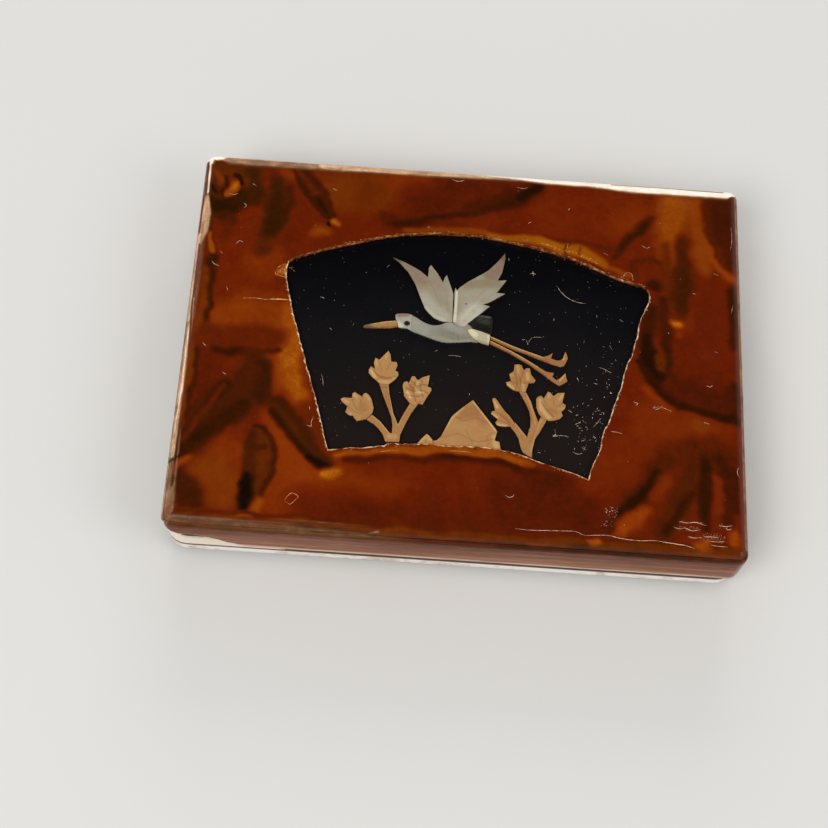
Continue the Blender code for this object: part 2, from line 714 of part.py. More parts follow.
clear_scene()
parts = make_collection("lacquer_box")
cutters = make_collection("cutters")
lid_axis = bpy.data.objects.new("lid_axis", None)
lid_axis.location = (0, axis_y, axis_z)
parts.objects.link(lid_axis)

make_base_core()
panel_room = make_inner_frame()
make_panels(*panel_room)
make_lid_core()
make_side_plates()
make_top_plate()
make_inlays()
make_hinges()
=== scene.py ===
import math

import bmesh
import bpy
import numpy as np
from mathutils import Matrix, Vector


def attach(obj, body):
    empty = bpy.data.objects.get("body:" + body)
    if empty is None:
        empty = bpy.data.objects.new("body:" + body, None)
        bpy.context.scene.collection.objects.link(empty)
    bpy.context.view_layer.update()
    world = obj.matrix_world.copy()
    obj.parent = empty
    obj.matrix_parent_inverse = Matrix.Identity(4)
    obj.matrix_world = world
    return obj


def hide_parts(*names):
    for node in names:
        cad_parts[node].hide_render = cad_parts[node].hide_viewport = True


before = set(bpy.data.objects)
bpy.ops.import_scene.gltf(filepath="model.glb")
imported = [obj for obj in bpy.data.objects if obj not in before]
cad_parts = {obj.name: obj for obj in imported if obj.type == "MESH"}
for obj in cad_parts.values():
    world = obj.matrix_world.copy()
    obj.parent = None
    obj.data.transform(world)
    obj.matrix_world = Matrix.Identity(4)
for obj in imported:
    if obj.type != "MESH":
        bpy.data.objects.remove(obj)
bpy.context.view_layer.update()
mm = 0.001


# a colour of 0 to 255 as it shows on a screen, turned to the numbers a shader takes
def tint(red, green, blue):
    return tuple(((c / 255 + 0.055) / 1.055) ** 2.4 if c > 10 else c / 255 / 12.92 for c in (red, green, blue)) + (1.0,)


# one socket in a node tree, so that shader maths reads as a plain expression
class Thread:
    def __init__(self, recipe, socket):
        self.recipe, self.socket = recipe, socket

    def out(self, name):
        return Thread(self.recipe, self.socket.node.outputs[name])

    def combine(self, operation, *values):
        kind = "ShaderNodeMath" if self.socket.type == "VALUE" else "ShaderNodeVectorMath"
        return self.recipe.node(kind, {"operation": operation}, dict(enumerate(values)))

    def __abs__(self):
        return self.combine("ABSOLUTE", self)

    def __add__(self, other):
        return self.combine("ADD", self, other)

    def __radd__(self, other):
        return self.combine("ADD", other, self)

    def __sub__(self, other):
        return self.combine("SUBTRACT", self, other)

    def __rsub__(self, other):
        return self.combine("SUBTRACT", other, self)

    def __mul__(self, other):
        return self.combine("MULTIPLY", self, other)

    def __rmul__(self, other):
        return self.combine("MULTIPLY", other, self)


# a node tree under construction
class Recipe:
    def __init__(self, tree):
        self.tree = tree

    def node(self, kind, settings=None, sockets=None, output=0):
        made = self.tree.nodes.new(kind)
        for name, value in (settings or {}).items():
            if name == "stops":
                while len(made.color_ramp.elements) < len(value):
                    made.color_ramp.elements.new(0.5)
                for stop, (place, colour) in zip(made.color_ramp.elements, value):
                    stop.position, stop.color = place, colour
            else:
                setattr(made, name, value)
        for name, value in (sockets or {}).items():
            if isinstance(value, Thread):
                self.tree.links.new(value.socket, made.inputs[name])
            elif isinstance(value, (int, float)) and made.inputs[name].type == "VECTOR":
                made.inputs[name].default_value = (value,) * 3
            else:
                made.inputs[name].default_value = value
        return Thread(self, made.outputs[output]) if made.outputs else made

    def clamp(self, value):
        return self.node("ShaderNodeClamp", {}, {"Value": value})

    # 0 below low, 1 above high, with a soft step between
    def step(self, value, low, high):
        return self.node(
            "ShaderNodeMapRange",
            {"interpolation_type": "SMOOTHSTEP"},
            {"Value": value, "From Min": low, "From Max": high, "To Min": 0.0, "To Max": 1.0},
        )

    def mix(self, mask, first, second):
        return self.node("ShaderNodeMix", {"data_type": "RGBA"}, {0: mask, 6: first, 7: second}, 2)

    def noise(self, where, size, detail=3.0, rough=0.5, twist=0.0):
        return self.node(
            "ShaderNodeTexNoise",
            {"noise_dimensions": "3D"},
            {"Vector": where, "Scale": 1 / size, "Detail": detail, "Roughness": rough, "Distortion": twist},
        )

    def cells(self, where, size, output="Distance"):
        return self.node("ShaderNodeTexVoronoi", {}, {"Vector": where, "Scale": 1 / size}).out(output)

    # a colour from stops, each a place and a screen colour
    def ramp(self, value, stops):
        return self.node("ShaderNodeValToRGB", {"stops": [(place, tint(*c)) for place, c in stops]}, {"Fac": value})

    def vector(self, x, y, z):
        return self.node("ShaderNodeCombineXYZ", {}, {0: x, 1: y, 2: z})

    def attribute(self, name):
        return self.node("ShaderNodeAttribute", {"attribute_name": name}).out("Fac")


# a material with one Principled surface; its sockets are filled by give()
class Finish(Recipe):
    def __init__(self, name, **fixed):
        self.material = bpy.data.materials.new(name)
        self.material.use_nodes = True
        super().__init__(self.material.node_tree)
        self.tree.nodes.clear()
        self.surface = self.tree.nodes.new("ShaderNodeBsdfPrincipled")
        end = self.tree.nodes.new("ShaderNodeOutputMaterial")
        self.tree.links.new(self.surface.outputs[0], end.inputs["Surface"])
        self.where = self.node("ShaderNodeTexCoord").out("Object")
        self.give(**fixed)

    def give(self, **sockets):
        for name, value in sockets.items():
            end = self.surface.inputs[name.replace("_", " ")]
            if isinstance(value, Thread):
                self.tree.links.new(value.socket, end)
            else:
                end.default_value = value

    # height in metres
    def relief(self, height):
        self.give(Normal=self.node("ShaderNodeBump", {}, {"Height": height, "Strength": 1.0, "Distance": 1.0}))

    # x, y and z in millimetres, each a thread
    def millimetres(self):
        split = self.node("ShaderNodeSeparateXYZ", {}, {"Vector": self.where * 1000.0})
        return split, split.out("Y"), split.out("Z")


print("camera, floor and lights")
view = {
    "place": (-0.012672, -0.132067, 0.273585),
    "right": (0.9975554, 0.0560601, 0.0417201),
    "up": (-0.0683099, 0.9081468, 0.4130414),
    "lens": 69.565,
}


def makeCamera():
    lens = bpy.data.cameras.new("photoCamera")
    lens.lens, lens.sensor_width, lens.clip_start = view["lens"], 36, 0.01
    camera = bpy.data.objects.new("photoCamera", lens)
    right, up = Vector(view["right"]).normalized(), Vector(view["up"])
    back = right.cross(up).normalized()
    turn = Matrix((right, back.cross(right), back)).transposed().to_4x4()
    camera.matrix_world = Matrix.Translation(view["place"]) @ turn
    bpy.context.scene.collection.objects.link(camera)
    bpy.context.scene.camera = camera


makeCamera()

studio = {
    "floorSize": 3.0,
    "floorColour": (219, 217, 213),
    "floorChange": 3,  # how much paler the floor is in places
    "ambient": 0.46,
    # what gloss sees: a pale room, a dark ceiling, and the heights between which one turns to the other
    "room": 0.9,
    "ceiling": 0.012,
    "ceilingStep": (0.35, 0.8),
    # name: place, what it faces, size, watts
    "lamps": {
        "keyLamp": ((-0.42, -0.5, 0.75), (0, 0, 0), (0.5, 0.5), 4.9),
        "fillLamp": ((0.65, -0.3, 0.6), (0, 0, 0), (0.5, 0.5), 1.9),
        "edgeLamp": ((0.0, 0.72, 0.28), (0, 0.03, 0.01), (0.5, 0.3), 2.2),
    },
}


def makeStudio():
    bpy.context.scene.view_settings.view_transform = "Standard"
    half = studio["floorSize"] / 2
    sheet = bpy.data.meshes.new("floor")
    sheet.from_pydata([(-half, -half, 0), (half, -half, 0), (half, half, 0), (-half, half, 0)], [], [(0, 1, 2, 3)])
    floor = bpy.data.objects.new("floor", sheet)
    bpy.context.scene.collection.objects.link(floor)
    paper = Finish("floorPaper", Roughness=0.9, Specular_IOR_Level=0.1)
    pale = paper.noise(paper.where, 0.12, 2.0)
    paler = [c + studio["floorChange"] for c in studio["floorColour"]]
    paper.give(Base_Color=paper.mix(pale, tint(*studio["floorColour"]), tint(*paler)))
    sheet.materials.append(paper.material)

    world = bpy.data.worlds.new("studio")
    world.use_nodes = True
    bpy.context.scene.world = world
    world.cycles.sampling_method = "NONE"
    sky = Recipe(world.node_tree)
    sky.tree.nodes.clear()
    rays = sky.node("ShaderNodeLightPath")
    seen = sky.node("ShaderNodeMath", {"operation": "MAXIMUM"}, {0: rays, 1: rays.out("Is Transmission Ray")})
    height = sky.node("ShaderNodeSeparateXYZ", {}, {"Vector": sky.node("ShaderNodeTexCoord")}).out("Z")
    low = 1 - sky.step(height, *studio["ceilingStep"])
    glossy = rays.out("Is Glossy Ray")
    mirrored = low * studio["room"] + studio["ceiling"]
    strength = seen + (1 - seen) * (glossy * mirrored + (1 - glossy) * studio["ambient"])
    ground = sky.node("ShaderNodeBackground", {}, {"Color": (1, 1, 1, 1), "Strength": strength})
    sky.node("ShaderNodeOutputWorld", {}, {"Surface": ground})

    for name, (place, aim, size, watts) in studio["lamps"].items():
        light = bpy.data.lights.new(name, "AREA")
        light.shape, light.size, light.size_y, light.energy = "RECTANGLE", size[0], size[1], watts
        lamp = bpy.data.objects.new(name, light)
        way = Vector(aim) - Vector(place)
        lamp.matrix_world = Matrix.Translation(place) @ way.to_track_quat("-Z", "Y").to_matrix().to_4x4()
        lamp.visible_glossy = name != "edgeLamp"
        bpy.context.scene.collection.objects.link(lamp)


makeStudio()

# the lid's outside, in millimetres, as the frame has it
lid = {
    "length": 102.0,
    "depth": 75.5,
    "rim": 5.7,
    "top": 15.3,
    "edgeRound": 2.4,
    "plate": 0.9,
    "joint": 0.15,
    "mitreGap": 0.1,
    "rimCorner": 2.2,
    "innerRimCorner": 4.0,
    "shoulderCorner": 2.0,
    "leastCorner": 0.6,
    "dip": 0.03,  # how far the plates' faces lie below the full height, for what lies on them
}
shoulder = lid["top"] - lid["edgeRound"]
corners = np.array([(-1, -1), (1, -1), (1, 1), (-1, 1)], float)


# columns round the lid: side 0 is the front, then right, back and left, each from one corner's middle to the next one's
def roundColumns(counts, bend=8):
    parts = []
    for side, count in enumerate(counts):
        facing = math.radians(90 * side - 90)
        first, last = corners[side], corners[(side + 1) % 4]
        for i in range(bend):
            parts.append((side, facing - math.pi / 4 * (1 - i / bend), first, first, 0))
        for i in range(count):
            parts.append((side, facing, first, last, i / count))
        for i in range(bend):
            parts.append((side, facing + math.pi / 4 * i / bend, last, last, 0))
        parts.append((side, facing + math.pi / 4, last, last, 0))
    names = ("side", "facing", "first", "last", "share")
    return {name: np.array([part[i] for part in parts], float) for i, name in enumerate(names)}


# where columns lie in plan, that far in from the lid's outside and at that height
def planAt(columns, inset, height):
    rim = np.where(np.asarray(inset) < lid["plate"], lid["rimCorner"], lid["innerRimCorner"])
    corner = rim + (lid["shoulderCorner"] - rim) * np.clip((height - lid["rim"]) / (shoulder - lid["rim"]), 0, 1)
    corner = np.maximum(corner - inset, lid["leastCorner"])
    each = np.ones((len(columns["side"]), 1))
    half = np.stack([lid["length"] / 2 - inset - corner, lid["depth"] / 2 - inset - corner], -1) * each
    share = columns["share"][:, None]
    middle = (columns["first"] * (1 - share) + columns["last"] * share) * half
    return middle + outwards(columns) * (corner * each[:, 0])[:, None]


def pick(columns, keep):
    return {name: values[keep] for name, values in columns.items()}


# which way each column faces, in plan
def outwards(columns):
    return np.stack([np.cos(columns["facing"]), np.sin(columns["facing"])], -1)


# how far along a line of points each one lies
def runAlong(points):
    return np.r_[0, np.cumsum(np.linalg.norm(np.diff(points, axis=0), axis=1))]


# the lid's rounded edge: how far in it is at a height, and how far down from the flat along the surface
def edgeInset(height):
    lift = np.clip((height - shoulder) / lid["edgeRound"], 0, 1)
    return lid["edgeRound"] * (1 - np.sqrt(1 - lift**2))


def edgeRun(height):
    lift = np.clip((height - shoulder) / lid["edgeRound"], 0, 1)
    return lid["edgeRound"] * (math.pi / 2 - np.arcsin(lift)) + np.maximum(shoulder - height, 0)


# smooths a mesh but for its sharp edges, gives it its finish and puts it in the scene
def placeMesh(name, mesh, material, angle):
    mesh.shade_smooth()
    mesh.set_sharp_from_angle(angle=math.radians(angle))
    mesh.materials.clear()
    mesh.materials.append(material)
    made = bpy.data.objects.new(name, mesh)
    bpy.context.scene.collection.objects.link(made)
    return made


def meshObject(name, points, faces, material, angle):
    mesh = bpy.data.meshes.new(name)
    mesh.from_pydata([tuple(p) for p in np.asarray(points) * mm], [], faces)
    mesh.update()
    shape = bmesh.new()
    shape.from_mesh(mesh)
    bmesh.ops.recalc_face_normals(shape, faces=shape.faces)
    shape.to_mesh(mesh)
    shape.free()
    return placeMesh(name, mesh, material, angle)


def storeValues(piece, **layers):
    for name, values in layers.items():
        layer = piece.data.attributes.new(name, "FLOAT", "POINT")
        layer.data.foreach_set("value", np.asarray(values, np.float32))


# The markings, laid over one another from the first to the last, in millimetres from the lid's middle.
# Each is: shade from 0 black to 1 bright amber, how golden, softness of its edge, and its path as x, y and half width.
# Paths past the flat's edge run on down the sides.
markings = {
    "ground": 0.5,
    "blur": 1.35,
    "waves": (9.0, 5.0, 2.6),
    "waver": 0.019,
    "seed": 3,
    "strokes": [
        # broad clouds
        (0.54, 0.0, 5.0, [(-41, 24, 3), (-41, 10, 3)]),
        (0.66, 0.2, 3.0, [(-38, 14.5, 1.4)]),
        (0.74, 0.2, 3.2, [(-45, 2.5, 1.2), (-39, 3.8, 1.5), (-34, 4.4, 1.6)]),
        (0.44, 0.0, 3.0, [(-47, -6, 1.5), (-46, -12, 1.5)]),
        (0.70, 0.1, 5.0, [(-30, -29, 3.5), (-21, -30, 2.5), (-12, -31, 0.5)]),
        (0.66, 0.0, 2.6, [(-42, -22, 0.8), (-38.5, -24, 0.6)]),
        (0.66, 0.5, 3.0, [(-43, -27.5, 1.6), (-40.5, -31, 1.6)]),
        (0.76, 0.0, 2.2, [(-33.6, -16.8, 0.2), (-31.2, -21, 1.2), (-27.5, -26.5, 1.5)]),
        (0.43, 0.0, 4.0, [(-26, -32.6, 0.4), (-5, -34, 1), (22, -34.5, 1)]),
        (0.40, 0.0, 3.4, [(8, -28, 1), (16, -29.5, 2.0), (22, -31, 1)]),
        (0.58, 0.0, 3.0, [(23.5, -24, 1), (28, -21, 1.2), (33, -15, 1.5)]),
        (0.57, 0.7, 3.4, [(-27, 30.5, 1.6), (-18.5, 31, 2.4)]),
        (0.66, 0.1, 2.4, [(-14, 34.5, 1.0), (-10, 34.5, 0.6)]),
        (0.40, 0.0, 3.2, [(-9, 30, 2.0), (-1, 31.5, 2.0), (8, 33, 1.0)]),
        (0.38, 0.0, 1.6, [(-16, 25.5, 0.6), (-8, 24.2, 0.5), (-2, 24.4, 0.3)]),
        (0.54, 0.0, 4.0, [(14, 31, 2), (24, 29, 3)]),
        (0.62, 0.1, 2.6, [(28, 27, 1.0), (31, 30.5, 1.0)]),
        (0.82, 0.35, 2.6, [(38.6, 32.6, 1.6), (37.6, 28, 1.2), (36.9, 21, 0.2)]),
        (0.76, 0.4, 1.8, [(42.4, 33.0, 0.6), (43.0, 27, 0.5), (44.0, 20, 0.2)]),
        (0.46, 0.0, 4.4, [(42, 6, 3.4), (42.5, -3, 2.6)]),
        (0.60, 0.0, 2.4, [(39.5, 12, 1.0), (39.5, 8, 0.6)]),
        (0.62, 0.1, 3.4, [(34, -12, 1.2), (39, -13.6, 1.4), (46, -14, 0.6)]),
        (0.90, 0.3, 1.9, [(-32.4, 4.6, 0.2), (-31.8, -1, 1.2), (-31.4, -8, 1.8), (-29.0, -12, 0.6)]),
        (0.80, 0.2, 2.0, [(-34.6, -6, 0.2), (-34, -10.5, 0.3)]),
        (0.92, 0.3, 0.5, [(-35.2, 12.7, 0.2), (-34.4, 12.9, 0.7), (-33.8, 12.6, 0.4)]),
        (0.66, 0.2, 1.4, [(-40.5, 7.0, 0.3), (-35, 7.2, 0.5)]),
        # above the window
        (0.30, 0.0, 2.0, [(12.0, 34.8, 0.4), (9.5, 32.8, 0.5), (6, 31, 0.2), (0, 29.2, 0.1)]),
        (0.24, 0.0, 0.9, [
            (12.3, 35.0, 0.3), (10.6, 33.2, 0.35), (7.8, 31, 0.2), (4.5, 29.6, 0.1), (0, 28.2, 0.05), (-5, 26.7, 0.05),
            (-10, 25.5, 0.05), (-14, 24.6, 0.05),
        ]),
        (0.10, 0.0, 0.9, [(12.3, 34.8, 0.15), (10.5, 33.6, 0.3), (8.9, 32.4, 0.1)]),
        (0.70, 0.6, 0.8, [(-12, 23.5, 0.05), (-4, 24.1, 0.1), (3, 24.0, 0.2)]),
        (0.86, 0.8, 0.8, [(4, 23.5, 0.15), (10, 23.2, 0.45), (14, 22.7, 0.65), (17, 21.9, 0.6)]),
        (0.86, 0.8, 0.8, [(19.0, 21.6, 0.5), (21.6, 20.9, 0.8), (24.4, 19.6, 0.5), (25.4, 18.6, 0.1)]),
        (0.92, 0.4, 0.4, [(21.6, 20.0, 0.1), (23.4, 19.6, 0.25), (24.6, 18.9, 0.05)]),
        (0.90, 0.4, 0.3, [(12.6, 22.9, 0.05), (15.0, 22.4, 0.15), (16.8, 22.0, 0.05)]),
        (0.46, 0.2, 0.3, [(18.3, 23.0), (17.9, 20.9)]),
        (0.66, 0.4, 0.3, [(21.0, 22.4), (20.8, 20.6)]),
        (0.42, 0.1, 0.6, [(14, 24.2, 0.02), (18, 23.5, 0.05), (23, 23.0, 0.05), (27, 22.4, 0.1)]),
        (0.78, 0.4, 0.6, [(26.5, 18.4, 0.1), (30, 17.0, 0.1)]),
        # upper left
        (0.40, 0.9, 2.4, [(-48.6, 33.5, 1.2), (-46, 34, 1.2), (-42, 34.6, 0.6)]),
        (0.36, 0.8, 2.0, [(-49, 29, 0.8), (-48.6, 24, 0.3)]),
        (0.42, 0.5, 1.3, [(-32.8, 34.4, 0.2), (-30.4, 31, 0.6), (-28.2, 28, 0.8), (-26.6, 25.9, 0.4)]),
        (0.16, 0.1, 1.0, [(-28.8, 28.6, 0.2), (-26.7, 25.9, 0.4)]),
        (0.26, 0.2, 0.7, [
            (-33.8, 34.5, 0.02), (-31.5, 31, 0.12), (-29.5, 27.7, 0.15), (-27.4, 25.2, 0.15), (-26, 24.9, 0.1),
        ]),
        (0.28, 0.2, 0.7, [(-31.5, 34.6, 0.02), (-28.8, 31, 0.12), (-27, 28.4, 0.15), (-25.7, 25.6, 0.15)]),
        (0.40, 0.6, 1.8, [(-36.4, 33.4, 0.8), (-36.4, 28.5, 1.2), (-36.8, 24, 1.1), (-38, 20, 0.6), (-38.4, 17, 0.1)]),
        (0.32, 0.4, 1.2, [(-34.5, 31, 0.1), (-34.2, 27.5, 0.15), (-35.2, 24.2, 0.2), (-37.2, 20.8, 0.2)]),
        (0.24, 0.5, 1.6, [(-37.2, 32, 0.3), (-37.0, 27.5, 0.5), (-36.4, 24.4, 0.7), (-37.4, 21.4, 0.5)]),
        (0.66, 0.0, 1.0, [(-36.4, 34.6, 0.2), (-34.6, 33.8, 0.2)]),
        (0.20, 0.5, 1.7, [(-48.6, 25.8, 0.3), (-46.4, 25.6, 0.9), (-43.6, 27.4, 0.6), (-41, 29.4, 0.2)]),
        (0.16, 0.3, 1.3, [(-48.4, 25.8, 0.1), (-46.6, 25.4, 0.4), (-45.2, 25.2, 0.2)]),
        (0.30, 0.3, 1.3, [(-46.0, 23.6, 0.4), (-44.8, 22.8, 0.2)]),
        (0.42, 0.2, 1.2, [(-45.4, 22, 0.2), (-45.6, 19.5, 0.1)]),
        (0.24, 0.6, 1.6, [(-41.8, 33, 0.4), (-41.4, 30.2, 0.6), (-40.4, 28.0, 0.2)]),
        (0.40, 0.9, 1.2, [(-44.0, 33.2, 0.2), (-42.6, 31.4, 0.2)]),
        (0.80, 0.35, 0.35, [(-45.8, 29.0, 0.7), (-45.0, 30.7, 0.8)]),
        (0.80, 0.35, 0.35, [(-44.5, 29.4, 0.5), (-44.3, 31.0, 0.5)]),
        (0.92, 0.25, 0.5, [(-45.2, 30.2, 0.4), (-44.5, 31.0, 0.2)]),
        (0.82, 0.9, 0.5, [(-46.2, 28.2, 0.15), (-45.4, 28.5, 0.1)]),
        (0.08, 0.0, 0.45, [(-45.0, 33.0, 0.1), (-43.9, 32.6, 0.2), (-43.4, 31.0, 0.15)]),
        (0.20, 0.2, 0.5, [(-46.8, 32.2, 0.05), (-46.6, 30.2, 0.05), (-47.4, 28.6, 0.05)]),
        (0.20, 0.2, 0.5, [(-46.4, 27.4, 0.05), (-44.4, 28.0, 0.05), (-43.4, 29.4, 0.05)]),
        (0.58, 0.8, 0.6, [(-48.4, 32.8, 0.05), (-47.8, 31.8, 0.15), (-48.1, 31.0, 0.05)]),
        (0.12, 0.2, 0.5, [(-49.0, 29.6, 0.05), (-48.6, 28.8, 0.1)]),
        (0.92, 0.5, 0.6, [(-25.2, 24.2, 0.35), (-24.6, 23.9, 0.2)]),
        (0.72, 0.6, 1.2, [(-29, 21.8, 0.4), (-27.2, 21.6, 0.3)]),
        (0.02, 0.0, 0.35, [(-26.4, 23.4, 0.2)]),
        # down the left side
        (0.30, 0.6, 0.8, [(-49.4, 24.5, 0.1), (-48.6, 21.6, 0.3)]),
        (0.24, 0.4, 0.8, [
            (-48.2, 20.2, 0.05), (-47.5, 14.5, 0.15), (-47.2, 10, 0.12), (-47.1, 4, 0.12), (-47.6, -1, 0.12),
            (-48.2, -8, 0.15), (-48.8, -18, 0.15), (-49.0, -26, 0.15),
        ]),
        (0.85, 0.6, 0.5, [(-48.2, 20.0, 0.1), (-47.8, 16.2, 0.25)]),
        (0.56, 0.9, 0.8, [(-48.3, 12, 0.2), (-48.2, 4, 0.2), (-48.9, -4, 0.25), (-49.4, -14, 0.3), (-49.6, -22, 0.2)]),
        (0.46, 0.2, 1.8, [(-46, -1.6, 1.4), (-36, -1.4, 1.4), (-34.2, -0.6, 0.4)]),
        (0.24, 0.1, 0.9, [(-44.8, -4.0, 0.05), (-42, -4.2, 0.2), (-39.4, -4.4, 0.1)]),
        (0.34, 0.1, 0.8, [(-39.4, -4.3, 0.1), (-36, -4.3, 0.1), (-33.6, -2.8, 0.05)]),
        (0.32, 0.4, 2.4, [(-37.4, -6.5, 0.9), (-38.0, -11, 2.0), (-42, -15, 2.2), (-45.5, -19, 1.8), (-49, -24, 1.2)]),
        (0.26, 0.3, 1.2, [(-35.8, -7, 0.3), (-35.8, -13, 0.4)]),
        (0.24, 0.2, 1.3, [(-42.2, -10.8, 0.2), (-44.6, -14.4, 0.3)]),
        (0.22, 0.2, 1.5, [(-38.6, -14.8, 0.3), (-41.4, -17.4, 0.5), (-45.6, -21, 0.5), (-49.2, -25, 0.3)]),
        (0.44, 0.2, 0.7, [(-42.8, -11.4, 0.05), (-44.6, -14.6, 0.15), (-47.0, -19, 0.1), (-48.8, -22, 0.05)]),
        # the arc by the window's lower left corner
        (0.50, 0.3, 1.4, [(-28.3, -14.6, 0.2), (-26.4, -18.0, 0.6), (-25.0, -21.0, 0.2)]),
        (0.37, 0.6, 1.1, [
            (-34.2, -13.6, 0.2), (-32, -14.9, 0.8), (-30, -17.4, 1.1), (-27.8, -20.6, 1.2), (-25.4, -23.2, 0.9),
            (-23, -25.2, 0.2),
        ]),
        (0.30, 0.4, 0.8, [
            (-34.7, -12.9, 0.02), (-32.2, -13.3, 0.1), (-30, -15.4, 0.12), (-27.6, -18.8, 0.12), (-25.0, -22.2, 0.1),
            (-23.0, -24.6, 0.05),
        ]),
        (0.20, 0.3, 0.9, [
            (-33.6, -15.6, 0.02), (-31.8, -17.6, 0.05), (-29.6, -20.4, 0.15), (-27.2, -22.8, 0.2), (-25, -24.5, 0.2),
        ]),
        (0.04, 0.0, 0.8, [(-26.4, -23.8, 0.1), (-25, -24.7, 0.2), (-23.4, -25.5, 0.2)]),
        (0.94, 0.3, 1.0, [(-23.6, -26.7, 0.15), (-21.6, -26.6, 0.4)]),
        # the leaf below it
        (0.44, 0.9, 1.3, [
            (-35.6, -20, 0.6), (-35.0, -23, 1.5), (-35.0, -27, 1.3), (-35.9, -31, 0.8), (-36.6, -34.4, 0.2),
        ]),
        (0.30, 0.5, 1.0, [(-36.8, -20.4, 0.1), (-36.4, -24, 0.5), (-36.4, -28, 0.6), (-36.8, -33, 0.4)]),
        (0.00, 0.0, 0.8, [(-36.5, -28.2, 0.1), (-36.7, -30.4, 0.5), (-36.7, -34.2, 0.15)]),
        (0.28, 0.3, 0.6, [
            (-36.6, -18.7, 0.05), (-34.8, -18.9, 0.1), (-33.3, -20.8, 0.12), (-32.6, -24, 0.12), (-33.0, -28, 0.1),
            (-34.6, -32, 0.05),
        ]),
        (0.30, 0.5, 0.5, [(-37.3, -22.6, 0.05), (-34.4, -22.3, 0.05)]),
        (0.84, 0.5, 0.8, [(-34.6, -32.4, 0.1), (-34.9, -34.2, 0.15)]),
        (0.28, 0.3, 1.9, [(-48.6, -29, 0.4), (-47, -31, 1.2), (-46, -34, 0.8)]),
        (0.80, 0.2, 0.9, [(-49.2, -27.0, 0.2), (-47.0, -25.6, 0.05)]),
        # under the window
        (0.84, 0.4, 0.6, [
            (-22, -23.1, 0.1), (-16, -22.3, 0.25), (-10, -21.2, 0.4), (-4, -20.8, 0.5), (4, -20.7, 0.6),
            (9, -21.4, 0.5), (13, -22.8, 0.1),
        ]),
        (0.36, 0.0, 0.9, [
            (-20, -24.0, 0.02), (-12, -23.0, 0.05), (-4, -22.5, 0.1), (4, -22.4, 0.1), (10, -23.2, 0.15),
        ]),
        (0.26, 0.0, 0.55, [(-3, -22.2, 0.02), (3, -22.1, 0.05), (8, -22.5, 0.1), (13, -23.8, 0.15), (17, -24.9, 0.05)]),
        (0.38, 0.0, 1.8, [(12, -24.6, 0.3), (18, -26.2, 0.5)]),
        # upper right
        (0.33, 0.3, 1.0, [(34.3, 29.6, 0.1), (32.2, 27.4, 0.4), (30.4, 25.2, 0.5), (28.8, 23, 0.5), (27, 21.2, 0.1)]),
        (0.24, 0.2, 0.6, [(33.4, 28.6, 0.05), (31.0, 25.6, 0.2), (29.0, 23.0, 0.15)]),
        (0.32, 0.1, 2.0, [(47.4, 34, 1.2), (47.8, 30, 1.5), (48, 25, 1.3), (49.0, 20.5, 0.5)]),
        (0.38, 0.3, 1.0, [(44.7, 34.6, 0.05), (44.6, 29, 0.1), (45.8, 24, 0.12), (48.0, 19.6, 0.1)]),
        (0.78, 0.2, 0.7, [(43.8, 25.5, 0.05), (45.2, 21.8, 0.15), (47.2, 19.2, 0.2), (49.6, 17.2, 0.1)]),
        (0.20, 0.3, 0.9, [(34.3, 15.6, 0.5), (35.6, 15.2, 0.5)]),
        (0.36, 0.4, 0.8, [
            (31.2, 17.6, 0.05), (31.2, 19.6, 0.1), (33.7, 21, 0.15), (36.2, 19.6, 0.1), (36.9, 17, 0.05),
        ]),
        (0.48, 0.4, 1.4, [(36.4, 24, 0.1), (37.0, 15, 0.3), (37.2, 11, 0.2)]),
        (0.36, 0.5, 1.7, [(40.0, 24.8, 0.1), (40.1, 20, 0.6), (39.7, 14.6, 0.7), (39.3, 9.8, 0.4)]),
        (0.30, 0.4, 1.1, [(40.5, 22, 0.05), (40.3, 17, 0.15), (39.6, 10.6, 0.2)]),
        (0.30, 0.1, 1.1, [(36.2, 12.5, 0.1), (36.2, 8, 0.25), (36.4, 5, 0.1)]),
        (0.95, 0.3, 0.9, [(38.0, 7.5, 0.2), (38.9, 7.4, 0.25)]),
        (0.66, 0.0, 0.7, [(38.7, 5.2, 0.3)]),
        # right side
        (0.24, 0.1, 1.2, [(49.3, 15, 0.1), (49.2, 9, 0.3), (49.1, 4, 0.1)]),
        (0.22, 0.1, 1.2, [(49.0, -5, 0.1), (49.0, -9.5, 0.3)]),
        (0.26, 0.1, 1.2, [(34.2, 10, 0.1), (33.6, 6, 0.6), (33.2, 2, 0.9), (33.6, -1.5, 0.9), (35, -3.2, 0.6)]),
        (0.10, 0.0, 1.0, [(33.6, 4.6, 0.2), (33.2, 1, 0.6), (33.7, -2.4, 0.5), (35.2, -3.6, 0.3)]),
        (0.44, 0.9, 0.9, [(35.3, 0.2, 0.5), (35.5, -1.6, 0.4)]),
        (0.24, 0.2, 0.9, [(36.6, 4, 0.05), (37.2, 0, 0.1), (37.0, -2.6, 0.1)]),
        (0.36, 0.0, 2.4, [(38, -5, 0.8), (43, -7, 1.4), (48, -8, 1.2)]),
        (0.20, 0.0, 0.8, [
            (31.9, -1, 0.05), (33.4, -4, 0.12), (36, -7, 0.15), (39, -9.1, 0.2), (43, -10.2, 0.25), (47, -10.9, 0.3),
            (49.8, -11.2, 0.35),
        ]),
        (0.70, 0.0, 1.0, [(33.0, -6.0, 0.1), (37, -9.6, 0.3)]),
        (0.66, 0.5, 0.7, [(42.0, -12.6, 0.5), (43.2, -13.4, 0.5)]),
        # the palm, lower right
        (0.40, 0.2, 2.4, [(37.5, -18.4, 0.4), (41, -17.4, 0.9), (45, -17.2, 1.0), (47.6, -19, 0.6)]),
        (0.36, 0.2, 1.6, [
            (36.4, -20, 0.4), (34, -23.6, 0.6), (31, -27.4, 0.6), (28.4, -30.6, 0.4), (26.4, -33.4, 0.1),
        ]),
